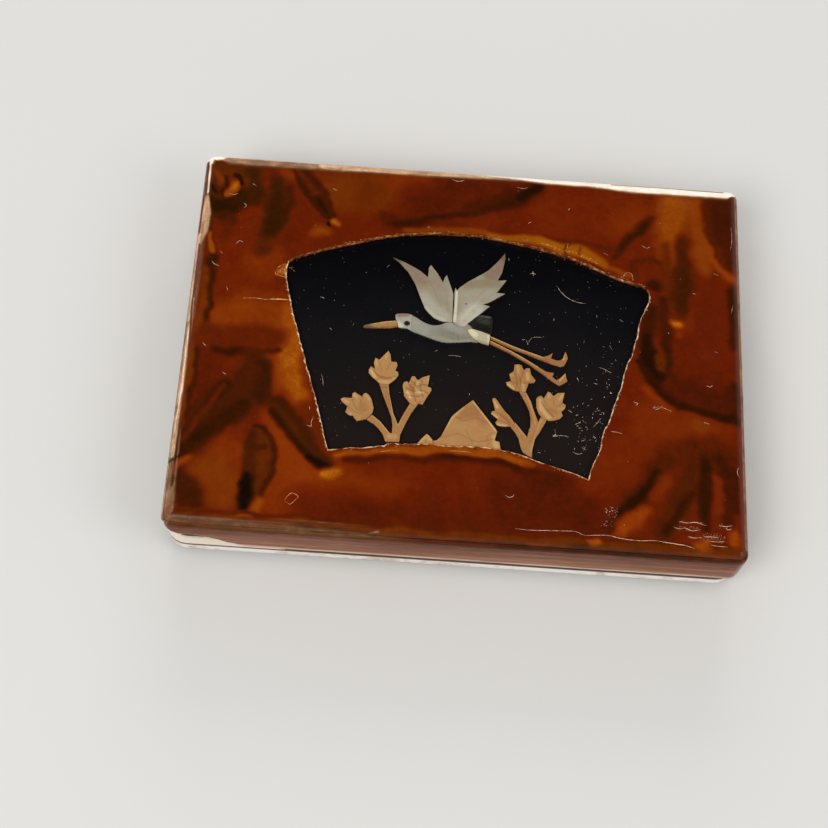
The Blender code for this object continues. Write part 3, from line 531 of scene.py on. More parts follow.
        (0.16, 0.1, 0.9, [(35.2, -22.4, 0.05), (32.4, -26.2, 0.2), (30.2, -28.6, 0.25), (28.6, -30.6, 0.05)]),
        (0.64, 0.1, 1.3, [(34.6, -27, 0.1), (36.6, -23.6, 0.1)]),
        (0.84, 0.05, 1.3, [(32.6, -29.4, 0.2), (30.8, -31.6, 0.6), (28.4, -33.8, 0.2)]),
        (0.38, 0.5, 1.7, [(41, -21, 0.5), (39.9, -25, 1.0), (38, -29.6, 1.1), (36, -33.6, 0.8)]),
        (0.24, 0.1, 0.9, [(41.2, -25.6, 0.05), (39.0, -29, 0.15), (36.6, -33.2, 0.1)]),
        (0.22, 0.1, 1.2, [(43.6, -20, 0.3), (43.4, -25, 0.5), (43.2, -29.6, 0.35), (43.1, -32, 0.05)]),
        (0.30, 0.1, 1.2, [(46.0, -19, 0.2), (47.0, -22.6, 0.3), (47.4, -27, 0.35), (47.2, -31, 0.1)]),
        (0.30, 0.1, 0.9, [(48.4, -21, 0.05), (48.6, -28, 0.1)]),
        (0.62, 0.1, 0.9, [(45.3, -23, 0.05), (45.4, -29, 0.1)]),
        # round the front edge and down the front
        (0.50, 0.9, 2.2, [(-50, -42.5, 3.2), (50, -42.5, 3.2)]),
        (0.43, 1.7, 1.2, [(-49, -37.3, 0.8), (-10, -37.5, 0.8)]),
        (0.50, 1.2, 1.1, [(-6, -37.0, 0.5), (25, -36.7, 0.4), (49, -36.8, 0.4)]),
        (0.34, 0.8, 0.7, [(-8, -38.2, 0.1), (10, -38.0, 0.3), (30, -37.9, 0.3), (49, -38.2, 0.1)]),
        (0.36, 2.0, 0.9, [(-40.5, -37.2, 0.3), (-36.2, -37.4, 0.4)]),
        (0.34, 1.8, 0.9, [(-33, -36.8, 0.3), (-24, -37.2, 0.5), (-14, -37.4, 0.2)]),
        (0.54, 1.2, 0.5, [(-46, -36.3, 0.05), (-24, -36.2, 0.1), (-4, -36.5, 0.05)]),
        (0.80, 0.4, 0.3, [(-37.2, -35.9, 0.05), (-35.0, -35.7, 0.1)]),
        (0.38, 0.5, 1.0, [(-46, -38.6, 0.2), (-44.5, -36.6, 0.2)]),
        (0.40, 0.4, 1.2, [(-8, -38.8, 0.2), (6, -39.0, 0.2)]),
        (0.26, 0.5, 0.8, [(8, -38.5, 0.2), (28, -38.3, 0.35), (47, -38.4, 0.1)]),
        (0.42, 0.2, 0.5, [(-49, -35.2, 0.05), (-20, -35.3, 0.1), (10, -35.4, 0.05), (49, -35.4, 0.05)]),
        (0.84, 0.2, 1.0, [(41.6, -35.7, 0.2), (43.0, -35.0, 0.3)]),
        (0.86, 0.2, 1.0, [(48.4, -32.8, 0.1), (48.4, -34.8, 0.3)]),
        (0.92, 0.15, 0.7, [(22.6, -36.2, 0.1), (24.6, -35.6, 0.25)]),
    ],
}


# pale rubbed wear and painted highlights along the upper edges and the front crease: how strong, softness, and its
# path, in the same millimetres
wearAndHighlights = {
    "strokes": [
        (0.80, 0.3, [(-50.1, 36, 0.15), (-49.9, 28, 0.15)]),
        (0.40, 0.4, [(-51.0, 36, 0.4), (-50.8, 28, 0.4)]),
        (0.58, 0.6, [(-50.0, 27, 0.3), (-49.7, 24, 0.8), (-49.8, 20, 0.7), (-50.2, 17, 0.1)]),
        (0.70, 0.4, [(-50.8, 19, 0.5), (-50.7, 2, 0.5)]),
        (0.30, 0.6, [(-49.8, 19, 0.4), (-49.8, 2, 0.4)]),
        (0.60, 0.5, [(-50.4, 4, 0.6), (-50.5, -14, 0.8), (-50.5, -24, 0.7)]),
        (0.42, 0.5, [(-50.3, -20, 0.9), (-50.1, -37, 1.3)]),
        (0.80, 0.3, [(-50.0, 6, 0.05), (-50.3, -4, 0.2), (-50.1, -12, 0.1), (-50.8, -22, 0.05)]),
        (0.64, 0.3, [(-51.1, -20, 0.05), (-51.2, -36, 0.1)]),
        (0.48, 1.1, [(-46, 36.4, 0.8), (-26, 36.5, 0.8)]),
        (0.80, 0.3, [(-49, 37.4, 0.15), (-38, 37.3, 0.1), (-28, 37.4, 0.05)]),
        (0.64, 1.1, [(-28, 36.6, 0.8), (-10, 36.8, 0.8), (8, 37.1, 0.6)]),
        (0.95, 1.2, [(3, 37.5, 0.1), (14, 36.9, 0.6), (22, 36.8, 0.5), (30, 36.6, 0.9), (49.5, 36.7, 0.9)]),
        (1.00, 0.9, [(-50.4, 37.2, 1.4), (-50.2, 34.6, 0.3)]),
        (1.00, 0.9, [(-50.4, 37.2, 1.4), (-47.2, 37.0, 0.5)]),
        (0.44, 0.4, [(51, 36, 0.6), (51, -34, 0.6)]),
        (0.72, 0.3, [(51.6, 37, 0.25), (51.6, -35, 0.15)]),
        (0.26, 0.3, [(-36, -35.6, -0.3), (-28, -35.8, 0.05), (-20, -35.9, 0.05), (-10, -35.9, -0.3)]),
        (0.32, 0.9, [(-50, -36.9, 0.5), (-36, -37.4, 0.5), (-20, -37.8, 0.4), (0, -38.0, -0.9)]),
        (0.44, 0.4, [(-14.6, -37.2, -0.05), (-13.2, -36.8, 0.1)]),
    ],
    "gaps": [
        (0.9, 0.3, [(26, 37.1, 0.02), (36, 37.3, 0.08), (47, 37.0, 0.04)]),
        (0.8, 0.3, [(-50.7, 35, 0.1), (-50.4, 28, 0.1)]),
        (0.8, 0.3, [(-50.3, 17, 0.05), (-50.2, 4, 0.05), (-49.5, -6, 0.05), (-49.6, -30, 0.05)]),
        (0.8, 0.3, [(-51.2, -25.4, 0.1), (-49.0, -25.0, 0.05)]),
    ],
}


hairline = 0.02  # half width of a path whose places give none


# how fully a stroke covers points in plan: 1 along its path, fading to 0 over its softness
def coverOf(points, soft, path):
    path = np.array([(*place, hairline)[:3] for place in path], float)
    near = np.full(len(points), 1e3)
    for a, b in list(zip(path, path[1:])) or [(path[0], path[0] + 1e-6)]:
        way = b[:2] - a[:2]
        share = np.clip((points - a[:2]) @ way / (way @ way), 0, 1)
        apart = np.linalg.norm(points - a[:2] - share[:, None] * way, axis=1)
        near = np.minimum(near, apart - a[2] - (b[2] - a[2]) * share)
    cover = np.clip(1 - near / soft, 0, 1)
    return cover * cover * (3 - 2 * cover)


# lays markings, wear and painted edge highlights on points in plan, and gives each point's shade, how golden it is and
# how much pale wear and painted highlight it has
def layMarkings(points):
    waved = points.copy()
    rng = np.random.RandomState(markings["seed"])
    for length in markings["waves"]:
        for _ in range(5):
            turn, phase, way = rng.uniform(0, 2 * math.pi, 3)
            across = points[:, 0] * math.cos(turn) + points[:, 1] * math.sin(turn)
            ripple = np.sin(across * 2 * math.pi / length + phase)
            waved += ripple[:, None] * np.array([math.cos(way), math.sin(way)]) * length * markings["waver"]
    shade = np.full(len(points), markings["ground"])
    gold, worn = np.zeros(len(points)), np.zeros(len(points))
    for target, golden, soft, path in markings["strokes"]:
        cover = coverOf(waved, soft * markings["blur"], path)
        shade += (target - shade) * cover
        gold += (golden - gold) * cover
    for strength, soft, path in wearAndHighlights["strokes"]:
        worn = np.maximum(worn, strength * coverOf(points, soft, path))
    for strength, soft, path in wearAndHighlights["gaps"]:
        worn *= 1 - strength * coverOf(points, soft, path)
    return {"shade": shade, "gold": gold, "worn": worn}


# the fan window's edge as the shell is broken and filed, side by side as the lid's sides go, each from left to right
window = {
    "front": [
        (-23.2, -22.1), (-21.6, -21.9), (-19.5, -21.5), (-17, -21.3), (-15, -20.9), (-13.4, -20.6), (-12.6, -20.1),
        (-10, -20.1), (-7, -19.8), (-4.5, -19.7), (-2, -19.9), (1, -19.7), (4.5, -19.6), (6.6, -20.0), (8.6, -20.1),
        (10.2, -20.5), (12, -21.0), (14.5, -21.9), (17, -22.6), (19.5, -23.3), (21.4, -23.9), (22.7, -24.5),
    ],
    "right": [
        (22.7, -24.5), (23.0, -23.3), (23.5, -21.5), (24.0, -20.4), (24.8, -18.5), (25.0, -16.8), (25.3, -15),
        (26.1, -13.6), (26.5, -12.5), (26.9, -10.8), (27.5, -9), (27.9, -7.6), (28.5, -6), (28.8, -4), (29.5, -1.5),
        (30.0, -0.4), (30.5, 0.5), (30.9, 2.6), (31.5, 5), (31.6, 6.6), (32, 8), (32.7, 9.8), (33.4, 11.5),
        (33.7, 12.6), (33.6, 13.6),
    ],
    "back": [
        (33.6, 13.6), (33.1, 14.5), (32.3, 15.1), (30, 15.5), (27.6, 16.3), (25, 17.3), (22.6, 18.5), (20, 19.5),
        (17.6, 20.3), (15, 20.9), (12.5, 21.6), (10, 22), (7.5, 22.5), (5, 22.9), (2.4, 23.3), (0, 23.4), (-2.5, 23.3),
        (-5, 23.3), (-7.6, 23.1), (-10, 22.8), (-12.6, 22.5), (-15, 21.9), (-17.4, 21.3), (-20, 20.4), (-22.6, 19.6),
        (-25, 18.8), (-27.6, 17.9), (-30, 16.9), (-32.3, 15.9), (-33.3, 15.0),
    ],
    "left": [
        (-33.3, 15.0), (-33.6, 13.6), (-33.4, 11.5), (-32.8, 8.8), (-32.3, 7.1), (-31.6, 4.3), (-30.8, 2.0),
        (-30.2, 0), (-29.7, -1.6), (-29.0, -3.6), (-28.2, -6.2), (-27.4, -8.6), (-26.8, -10.6), (-25.9, -13.0),
        (-25.2, -15.4), (-24.4, -18.0), (-23.9, -20.0), (-23.2, -22.1),
    ],
    "columns": (250, 280, 250, 280),
    "rows": 60,
    # narrowest and widest filed edge, and how pale it is, for the front, right, back and left; the paleness is partly
    # painted light, shaded darker at the back and lit paler on the other sides
    "cutWidths": ((0.06, 0.46), (0.05, 0.28), (0.03, 0.16), (0.06, 0.42)),
    "cutPaleLitAndShaded": (0.62, 0.74, 0.3, 0.72),
    "cutDrop": 0.2,
    "cutPlaces": 330,  # places round the window where the filed edge's width is drawn
    "biteSpacing": 0.55,
    "biteSize": 0.09,
    "stretchSpacing": 6.0,
    "stretchStrength": (0.3, 1.3),
    "cornerCalm": 1.5,  # how near a corner the bites fade out
    "edgeRows": 12,
    "crowding": 1.12,  # above 1, the plate's rows crowd towards the window
    "unevenness": 0.025,
    "seed": 7,
}


# the window's edge at each column, with its small chips
def windowEdge(columns):
    rng = np.random.RandomState(window["seed"])
    edge = np.zeros((len(columns["side"]), 2))
    outer = planAt(columns, 0, lid["top"])
    for side, name in enumerate(("front", "right", "back", "left")):
        here = np.where(columns["side"] == side)[0]
        run = runAlong(outer[here])
        path = np.array(window[name], float)
        along = runAlong(path)
        wanted = run / run[-1] * along[-1]
        edge[here] = np.stack([np.interp(wanted, along, path[:, 0]), np.interp(wanted, along, path[:, 1])], -1)
        # small bites, stronger on some stretches than on others, and none at the corners
        places = np.arange(0, along[-1] + 1, window["biteSpacing"])
        bites = rng.uniform(-1, 1, int(along[-1] / window["biteSpacing"]) + 3)[: len(places)]
        bites = np.interp(wanted, places, bites)
        places = np.arange(0, along[-1] + 7, window["stretchSpacing"])
        strength = np.interp(wanted, places, rng.uniform(*window["stretchStrength"], len(places)))
        ends = np.clip(np.minimum(wanted, along[-1] - wanted) / window["cornerCalm"], 0, 1)
        away = edge[here] / np.linalg.norm(edge[here], axis=1)[:, None]
        edge[here] += away * (bites * strength * ends * window["biteSize"])[:, None]
    return edge


# faces of a grid whose last row meets its first; where it is closed, its last column meets its first too
def gridFaces(rows, columns, closed):
    faces = []
    for j in range(rows):
        here, after = j * columns, (j + 1) % rows * columns
        for i in range(columns if closed else columns - 1):
            beside = (i + 1) % columns
            faces.append((here + i, here + beside, after + beside, after + i))
    return faces


# gentle hollows of the plate's face, from 0 to 1
def hollows(points):
    x, y = points[:, 0], points[:, 1]
    return 0.5 + 0.25 * np.sin(0.35 * x + 0.22 * y) + 0.25 * np.sin(0.31 * y - 0.17 * x + 1.0)


def makeTopPlate(shell):
    columns = roundColumns(window["columns"])
    # a corner's middle comes twice, as one side's last column and the next one's first, which is left out
    columns = pick(columns, np.r_[False, columns["side"][1:] == columns["side"][:-1]])
    count = len(columns["side"])
    rng = np.random.RandomState(window["seed"] + 1)
    edge = windowEdge(columns)
    before, after = np.roll(edge, 2, 0), np.roll(edge, -2, 0)
    along = (after - before) / np.linalg.norm(after - before, axis=1)[:, None]
    outward = np.stack([along[:, 1], -along[:, 0]], -1)
    place = np.arange(count) / count
    widths = np.array(window["cutWidths"])[columns["side"].astype(int)]
    places = window["cutPlaces"]
    wide = np.interp(place, np.linspace(0, 1, places), rng.uniform(0, 1, places))
    wide = widths[:, 0] + (widths[:, 1] - widths[:, 0]) * wide
    lip = edge + outward * wide[:, None]
    seat = lid["top"] - lid["plate"]
    top = lid["top"] - lid["dip"]
    lowest = math.asin((lid["edgeRound"] - lid["plate"]) / lid["edgeRound"])
    outer = planAt(columns, lid["edgeRound"], top)
    layers, unrolled, cut = [], [], []

    def layer(points, height, down=0.0, broken=0.0):
        layers.append(np.column_stack([points, height * np.ones(count)]))
        unrolled.append(outer + outwards(columns) * down if down else points)
        cut.append(broken * np.ones(count))

    layer(edge, seat)
    layer(planAt(columns, edgeInset(seat), seat), seat, float(edgeRun(seat)))
    for angle in np.linspace(lowest, math.pi / 2, window["edgeRows"])[1:]:
        height = shoulder + lid["edgeRound"] * math.sin(angle)
        inset = lid["edgeRound"] * (1 - math.cos(angle))
        down = max(float(edgeRun(height)), 1e-6)
        layer(planAt(columns, inset, height), height - lid["dip"] * math.sin(angle), down)
    for share in 1 - (1 - np.linspace(0, 1, window["rows"])[1:]) ** window["crowding"]:
        points = outer + (lip - outer) * share
        # level at both ends
        depth = window["unevenness"] * hollows(points) * min(share * 8, 1, (1 - share) * 8)
        layer(points, top - depth)
    layer(lip * 0.5 + edge * 0.5, top - window["cutDrop"] * 0.3, broken=1.0)
    layer(edge, top - window["cutDrop"], broken=1.0)
    points = np.concatenate(layers)
    plate = meshObject("shellTopPlate", points, gridFaces(len(layers), count, True), shell, 30)
    pale = np.tile(np.array(window["cutPaleLitAndShaded"])[columns["side"].astype(int)], len(layers))
    storeValues(plate, **layMarkings(np.concatenate(unrolled)))
    storeValues(plate, cut=np.concatenate(cut), pale=pale, wild=np.zeros(len(points)))
    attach(plate, "lid")
    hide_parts("lid_top_plate")
    return plate


# where the front and left strips are broken away at their shared corner: distance from the corner and lowest height
breakage = {
    "front": [
        (0.0, 13.4), (0.4, 12.3), (1.2, 11.0), (2.4, 9.95), (3.2, 10.2), (4.2, 10.3), (5.4, 10.0), (6.4, 9.9),
        (7.0, 9.4), (7.6, 9.1), (8.3, 8.6), (9.0, 8.3), (9.8, 7.8), (10.8, 7.2), (12.0, 6.7), (13.0, 6.2), (13.8, 5.7),
    ],
    "left": [
        (0.0, 13.6), (0.7, 13.2), (1.6, 12.0), (2.6, 11.2), (4.2, 10.2), (5.8, 9.9), (6.8, 9.1), (8.0, 8.3),
        (9.6, 7.6), (11.0, 7.1), (12.6, 6.2), (13.4, 5.7),
    ],
    "chipSpacing": 0.45,
    "chipSize": 0.12,
    "chipReach": 30,
    "least": 0.02,  # how far above the rim the strip counts as broken
    "slope": 0.25,  # how much higher the break is on the inside
    "pale": 0.8,
    "rows": 34,
    "columns": 230,
    "seed": 11,
}


def makeSidePlate(name, side, node, shell):
    counts = [0, 0, 0, 0]
    part = 1 if side in (0, 2) else lid["depth"] / lid["length"]
    counts[side] = round(breakage["columns"] * part)
    columns = roundColumns(counts)
    columns = pick(columns, columns["side"] == side)
    count = len(columns["side"])
    rng = np.random.RandomState(breakage["seed"] + side)
    outer = planAt(columns, 0, shoulder)
    run = runAlong(outer)
    high = lid["top"] - lid["plate"] - lid["joint"]
    lowest = np.full(count, lid["rim"])
    broken = {0: ("front", run), 3: ("left", run[-1] - run)}.get(side)
    if broken:
        bites = np.array(breakage[broken[0]])
        places = np.arange(0, breakage["chipReach"], breakage["chipSpacing"])
        chips = np.interp(broken[1], places, rng.uniform(-breakage["chipSize"], breakage["chipSize"], len(places)))
        lowest = np.interp(broken[1], bites[:, 0], bites[:, 1])
        lowest = np.where(lowest > lid["rim"] + breakage["least"], np.maximum(lowest + chips, lid["rim"]), lowest)
    torn = lowest > lid["rim"] + breakage["least"]
    # the ends stand back from the mitre
    facing = math.radians(90 * side - 90)
    heading = np.array([-math.sin(facing), math.cos(facing)])
    back = np.zeros(count)
    back[0], back[-1] = lid["mitreGap"] * math.sqrt(0.5), -lid["mitreGap"] * math.sqrt(0.5)
    layers, unrolled, cut = [], [], []
    flat = planAt(columns, lid["edgeRound"], lid["top"])

    def layer(inset, height, worn=0.0):
        points = planAt(columns, inset, height) + heading * back[:, None]
        layers.append(np.column_stack([points, height * np.ones(count)]))
        unrolled.append(flat + outwards(columns) * edgeRun(height * np.ones(count))[:, None])
        cut.append(np.where(torn, worn, 0.0))

    for share in np.linspace(0, 1, breakage["rows"]):
        height = lowest + (high - lowest) * share
        layer(edgeInset(height), height, 1.0 if share == 0 else 0.0)
    layer(np.full(count, lid["plate"]), np.full(count, high))
    layer(np.full(count, lid["plate"]), np.minimum(lowest + np.where(torn, breakage["slope"], 0.0), high - 0.1), 1.0)
    rows = len(layers)
    faces = gridFaces(rows, count, False)
    faces.append(tuple(j * count for j in range(rows)))
    faces.append(tuple(j * count + count - 1 for j in reversed(range(rows))))
    plate = meshObject(name, np.concatenate(layers), faces, shell, 40)
    storeValues(plate, **layMarkings(np.concatenate(unrolled)))
    # only the front's markings are known from the photo; the others get a mottle of their own
    wild, pale = np.full(rows * count, 0.0 if side == 0 else 1.0), np.full(rows * count, breakage["pale"])
    storeValues(plate, cut=np.concatenate(cut), pale=pale, wild=wild)
    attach(plate, "lid")
    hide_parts(node)
    return plate


# How the shell looks. Stops go from dark to bright, and sizes and heights are in millimetres.
shellLooks = {
    "shell": [
        (0.0, (20, 8, 4)), (0.2, (47, 17, 1)), (0.35, (72, 21, 3)), (0.5, (98, 27, 2)), (0.65, (115, 37, 2)),
        (0.8, (131, 49, 3)), (0.9, (147, 63, 4)), (1.0, (180, 94, 14)),
    ],
    # colours of the pale wear and painted edge highlights, from dark to bright
    "rubbedAndHighlights": [
        (0.0, (70, 40, 22)), (0.3, (116, 80, 50)), (0.5, (158, 118, 84)), (0.68, (210, 166, 126)),
        (0.85, (246, 226, 202)), (1.0, (255, 248, 236)),
    ],
    "filed": [(0.0, (58, 26, 8)), (0.3, (120, 70, 28)), (0.6, (206, 148, 88)), (0.85, (246, 224, 192))],
    # the sides' painted reflection haze, then the painted highlight on their lower lip
    "chalk": (172, 122, 88),
    "lip": (226, 186, 164),
    # size, detail, roughness and distortion
    "cloud": (9, 4.0, 0.55, 0.6),
    "patch": (2.2, 4.0, 0.55, 0.8),
    "brushed": (0.8, 5.0, 0.7, 0.5),
    "grain": (0.3, 2.0),
    "mottle": (16, 3.0, 0.6, 1.2),
    "lump": (3.5, 3.0, 0.6, 0.8),
    "golden": 0.75,  # how much more green the golden places get
    "streaks": 0.34,
    "sideStart": (14.2, 12.8),
    "streakStart": (15.1, 14.4),
    # heights, from and to, over which the painted haze and the painted lip highlight come in
    "paintedHazeHeights": (12.5, 7.0),
    "lipHighlightHeights": (6.8, 6.2),
    "endStart": (48.2, 49.2),  # how far along x the left and right edges begin
    "roughness": 0.15,
    "gloss": 0.2,
    "sideGloss": 0.08,
}


# where a finish lies, stretched along x, along y, or both
def stretched(made, x, y, z):
    return made.where * made.vector(x, y, z)


def tortoiseshell(name, gloss):
    looks = shellLooks
    made = Finish(name, IOR=1.5, Specular_IOR_Level=gloss)
    where = made.where
    x, _, z = made.millimetres()

    def drawn(kind):
        size, *rest = looks[kind]
        return made.noise(where, size * mm, *rest)

    cloud, patch, brushed, grain, mottle = (drawn(kind) for kind in ("cloud", "patch", "brushed", "grain", "mottle"))
    wild = made.attribute("wild")
    shade = made.attribute("shade") + (cloud - 0.5) * 0.2 + (patch - 0.5) * 0.17
    shade = shade + (brushed - 0.5) * 0.16 + (grain - 0.5) * 0.07
    shade = shade + wild * (made.step(mottle, 0.35, 0.65) - 0.75) * 0.5
    # fine lines along the sides
    upright = made.step(z, *looks["sideStart"])
    lengthwise = made.noise(stretched(made, 0.07, 0.07, 1.0), 0.22 * mm, 3.0)
    shade = shade + made.step(z, *looks["streakStart"]) * (lengthwise - 0.5) * (looks["streaks"] - wild * 0.2)
    colour = made.ramp(shade, looks["shell"]) * made.vector(1.0, 1 + made.attribute("gold") * looks["golden"], 1.0)
    # a painted reflection haze on the sides, strongest just above the seam
    slab = made.noise(stretched(made, 0.05, 0.05, 1.0), 1.1 * mm, 3.0)
    paintedHazeAmount = made.step(lengthwise, 0.4, 0.8) * 0.14 + made.step(slab, 0.45, 0.7) * 0.24
    paintedHazeAmount = upright * (paintedHazeAmount + made.step(z, *looks["paintedHazeHeights"]) * (0.1 + slab * 0.5))
    colour = made.mix(made.clamp(paintedHazeAmount * (1 - wild * 0.55)), colour, tint(*looks["chalk"]))
    # a painted highlight on the plates' lower lip, just above the seam
    lip = made.step(z, *looks["lipHighlightHeights"]) * made.step(slab + (cloud - 0.5) * 0.8, 0.15, 0.6)
    colour = made.mix(lip * 0.75, colour, tint(*looks["lip"]))
    # rubbed upper edges and painted highlights on them, with streaks that run along them
    aside = made.step(abs(x), *looks["endStart"])
    acrossward = made.noise(stretched(made, 0.12, 1.0, 1.0), 0.45 * mm, 4.0, 0.6)
    alongward = made.noise(stretched(made, 1.0, 0.12, 1.0), 0.45 * mm, 4.0, 0.6)
    streak = acrossward * (1 - aside) + alongward * aside
    # worn holds both the pale wear and the painted edge highlights
    worn = made.attribute("worn")
    lump = drawn("lump")
    rubbedAndHighlights = made.clamp(worn * (1.5 + (streak - 0.5) * 1.0 + (lump - 0.5) * 0.9))
    rubAndHighlight = made.ramp(worn + (streak - 0.5) * 0.45 + (lump - 0.5) * 0.45 + (grain - 0.5) * 0.2, looks["rubbedAndHighlights"])
    colour = made.mix(rubbedAndHighlights, colour, rubAndHighlight)
    # broken and filed edges are pale and dull
    edge = made.clamp(made.attribute("cut") * (0.5 + brushed * 0.9))
    pale = made.ramp(made.attribute("pale") + (brushed - 0.5) * 2.2 + (patch - 0.5) * 1.0, looks["filed"])
    made.give(Base_Color=made.mix(edge, colour, pale))
    made.give(Roughness=looks["roughness"] + edge * 0.4 + rubbedAndHighlights * 0.2 + made.step(cloud, 0.5, 0.8) * 0.08)
    made.relief(made.noise(where, 1.6 * mm, 2.0) * (0.010 * mm) + grain * (0.0012 * mm))
    return made.material


print("tortoiseshell plates")
topPlate = makeTopPlate(tortoiseshell("tortoiseshell", shellLooks["gloss"]))
# the sides are rubbed duller than the top
sideShell = tortoiseshell("tortoiseshellSides", shellLooks["sideGloss"])
for side, name in enumerate(("Front", "Right", "Back", "Left")):
    makeSidePlate(f"shell{name}Plate", side, f"lid_{name.lower()}_plate", sideShell)


# gives a CAD node a better finish; its shape stays as it is
def paint(node, material):
    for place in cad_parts[node].material_slots:
        place.material = material


# a copy of a CAD node with its doubles merged and its round parts smooth
def smoothCopy(node, name, material, body, angle=35, work=None):
    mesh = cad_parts[node].data.copy()
    mesh.name = name
    shape = bmesh.new()
    shape.from_mesh(mesh)
    bmesh.ops.remove_doubles(shape, verts=shape.verts, dist=1e-6)
    bmesh.ops.dissolve_limit(shape, angle_limit=math.radians(0.5), verts=shape.verts, edges=shape.edges)
    if work:
        work(shape)
    shape.to_mesh(mesh)
    shape.free()
    made = placeMesh(name, mesh, material, angle)
    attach(made, body)
    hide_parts(node)
    return made


# How the black lacquer and the wood under it look. Places are in millimetres.
lacquerLooks = {
    "black": [(0.0, (30, 23, 21)), (0.5, (20, 18, 19)), (1.0, (7, 7, 11))],
    "dust": (190, 190, 190),
    "dustSize": 0.9,
    "band": ((204, 176, 150), (244, 236, 226)),
    "bandHeights": (2.45, 2.6, 4.6, 4.75),  # where it begins and ends, each from and to
    "tornWoodAndShade": ((58, 40, 24), (132, 92, 62)),
    "bareWood": (240, 230, 214),
    "inner": (47.0, 33.75, 100.0),  # half the size of the block from which the outside is told
    "gloss": 0.25,
    "roughness": 0.2,
}


def blackLacquer():
    looks = lacquerLooks
    made = Finish("blackLacquer", IOR=1.5, Specular_IOR_Level=looks["gloss"])
    x, y, z = made.millimetres()
    haze = made.noise(made.where, 14 * mm, 4.0, 0.6)
    patch = made.noise(made.where, 2.5 * mm, 4.0, 0.6, 0.6)
    fine = made.noise(made.where, 0.5 * mm, 3.0)
    # darkest at the back, lighter and a little brown towards the front
    colour = made.ramp(made.step(y + (haze - 0.5) * 16, -20, 20), looks["black"])
    # dust: a few tiny pale specks
    speck = made.cells(made.where, looks["dustSize"] * mm)
    chosen = made.cells(made.where, looks["dustSize"] * mm, "Color")
    dust = (1 - made.step(speck, 0.03, 0.09)) * made.step(chosen + made.step(x, 8, 22) * 0.12, 0.55, 0.8)
    colour = made.mix(dust * 0.6, colour, tint(*looks["dust"]))
    # how far outside the inner block a point is, which tells the case's outer faces
    away = abs(made.where) * 1000.0 - made.vector(*looks["inner"])
    away = made.node("ShaderNodeVectorMath", {"operation": "MAXIMUM"}, {0: away, 1: 0.0})
    away = made.node("ShaderNodeVectorMath", {"operation": "LENGTH"}, {0: away}, "Value")
    # the base's pale upper band
    start, full, fading, end = looks["bandHeights"]
    band = made.step(away, 3.1, 3.2) * made.step(z + (patch - 0.5) * 0.25, start, full) * made.step(z, end, fading)
    paleBandColour = made.mix(made.step(patch + haze - 0.5, 0.2, 0.6), *(tint(*c) for c in looks["band"]))
    colour = made.mix(band, colour, paleBandColour)
    # the lid's wood laid bare where the plates are broken away: pale low down, and darker just under the break and
    # towards the corner, which is painted shade over torn, glue-stained wood
    broken = made.step(away, 2.75, 2.85) * made.step(x, -29, -31) * made.step(y, -22, -24) * made.step(z, 5.25, 5.35)
    torn = made.mix(made.step(x + (patch - 0.5) * 3, -47, -44), *(tint(*c) for c in looks["tornWoodAndShade"]))
    bare = made.mix(made.step(z + (patch - 0.5) * 0.9, 6.2, 5.9), torn, tint(*looks["bareWood"]))
    colour = made.mix(broken, colour, bare)
    made.give(Base_Color=colour)
    made.give(Roughness=looks["roughness"] + dust * 0.4 + fine * 0.06 + band * 0.2 + broken * 0.4)
    made.relief(made.noise(made.where, 2.2 * mm, 2.0) * (0.006 * mm) + broken * patch * (0.15 * mm))
    return made.material


print("lacquered wood")
black = blackLacquer()
smoothCopy("base_core", "baseBody", black, "base")
lidBody = smoothCopy("lid_core", "lidBody", black, "lid")
for side in ("front", "back", "left", "right"):
    paint(f"frame_{side}_board", black)


goldFleckLooks = {
    "spacing": 0.7,
    "fleck": (0.22, 0.34),  # its radius and where it ends, in spacings
    "chosen": (0.35, 0.5),
    "ground": ((58, 20, 10), (96, 40, 16)),
    "metal": ((170, 120, 45), (226, 180, 96)),
}


def goldFleckLacquer():
    looks = goldFleckLooks
    made = Finish("goldFleckLacquer", IOR=1.5)
    size = looks["spacing"] * mm
    nearness = made.cells(made.where, size)
    chosen = made.cells(made.where, size, "Color")
    fleck = (1 - made.step(nearness, *looks["fleck"])) * made.step(chosen, *looks["chosen"])
    cloud = made.noise(made.where, 12 * mm, 4.0, 0.6)
    ground = made.mix(cloud, *(tint(*c) for c in looks["ground"]))
    metal = made.mix(made.noise(made.where, 0.4 * mm), *(tint(*c) for c in looks["metal"]))
    made.give(Base_Color=made.mix(fleck, ground, metal), Metallic=fleck * 0.9, Roughness=0.22 + fleck * 0.15)
    made.relief(made.noise(made.where, 2.5 * mm, 2.0) * (0.008 * mm))
    return made.material


goldFleck = goldFleckLacquer()
paint("floor_panel", goldFleck)
paint("ceiling_panel", goldFleck)


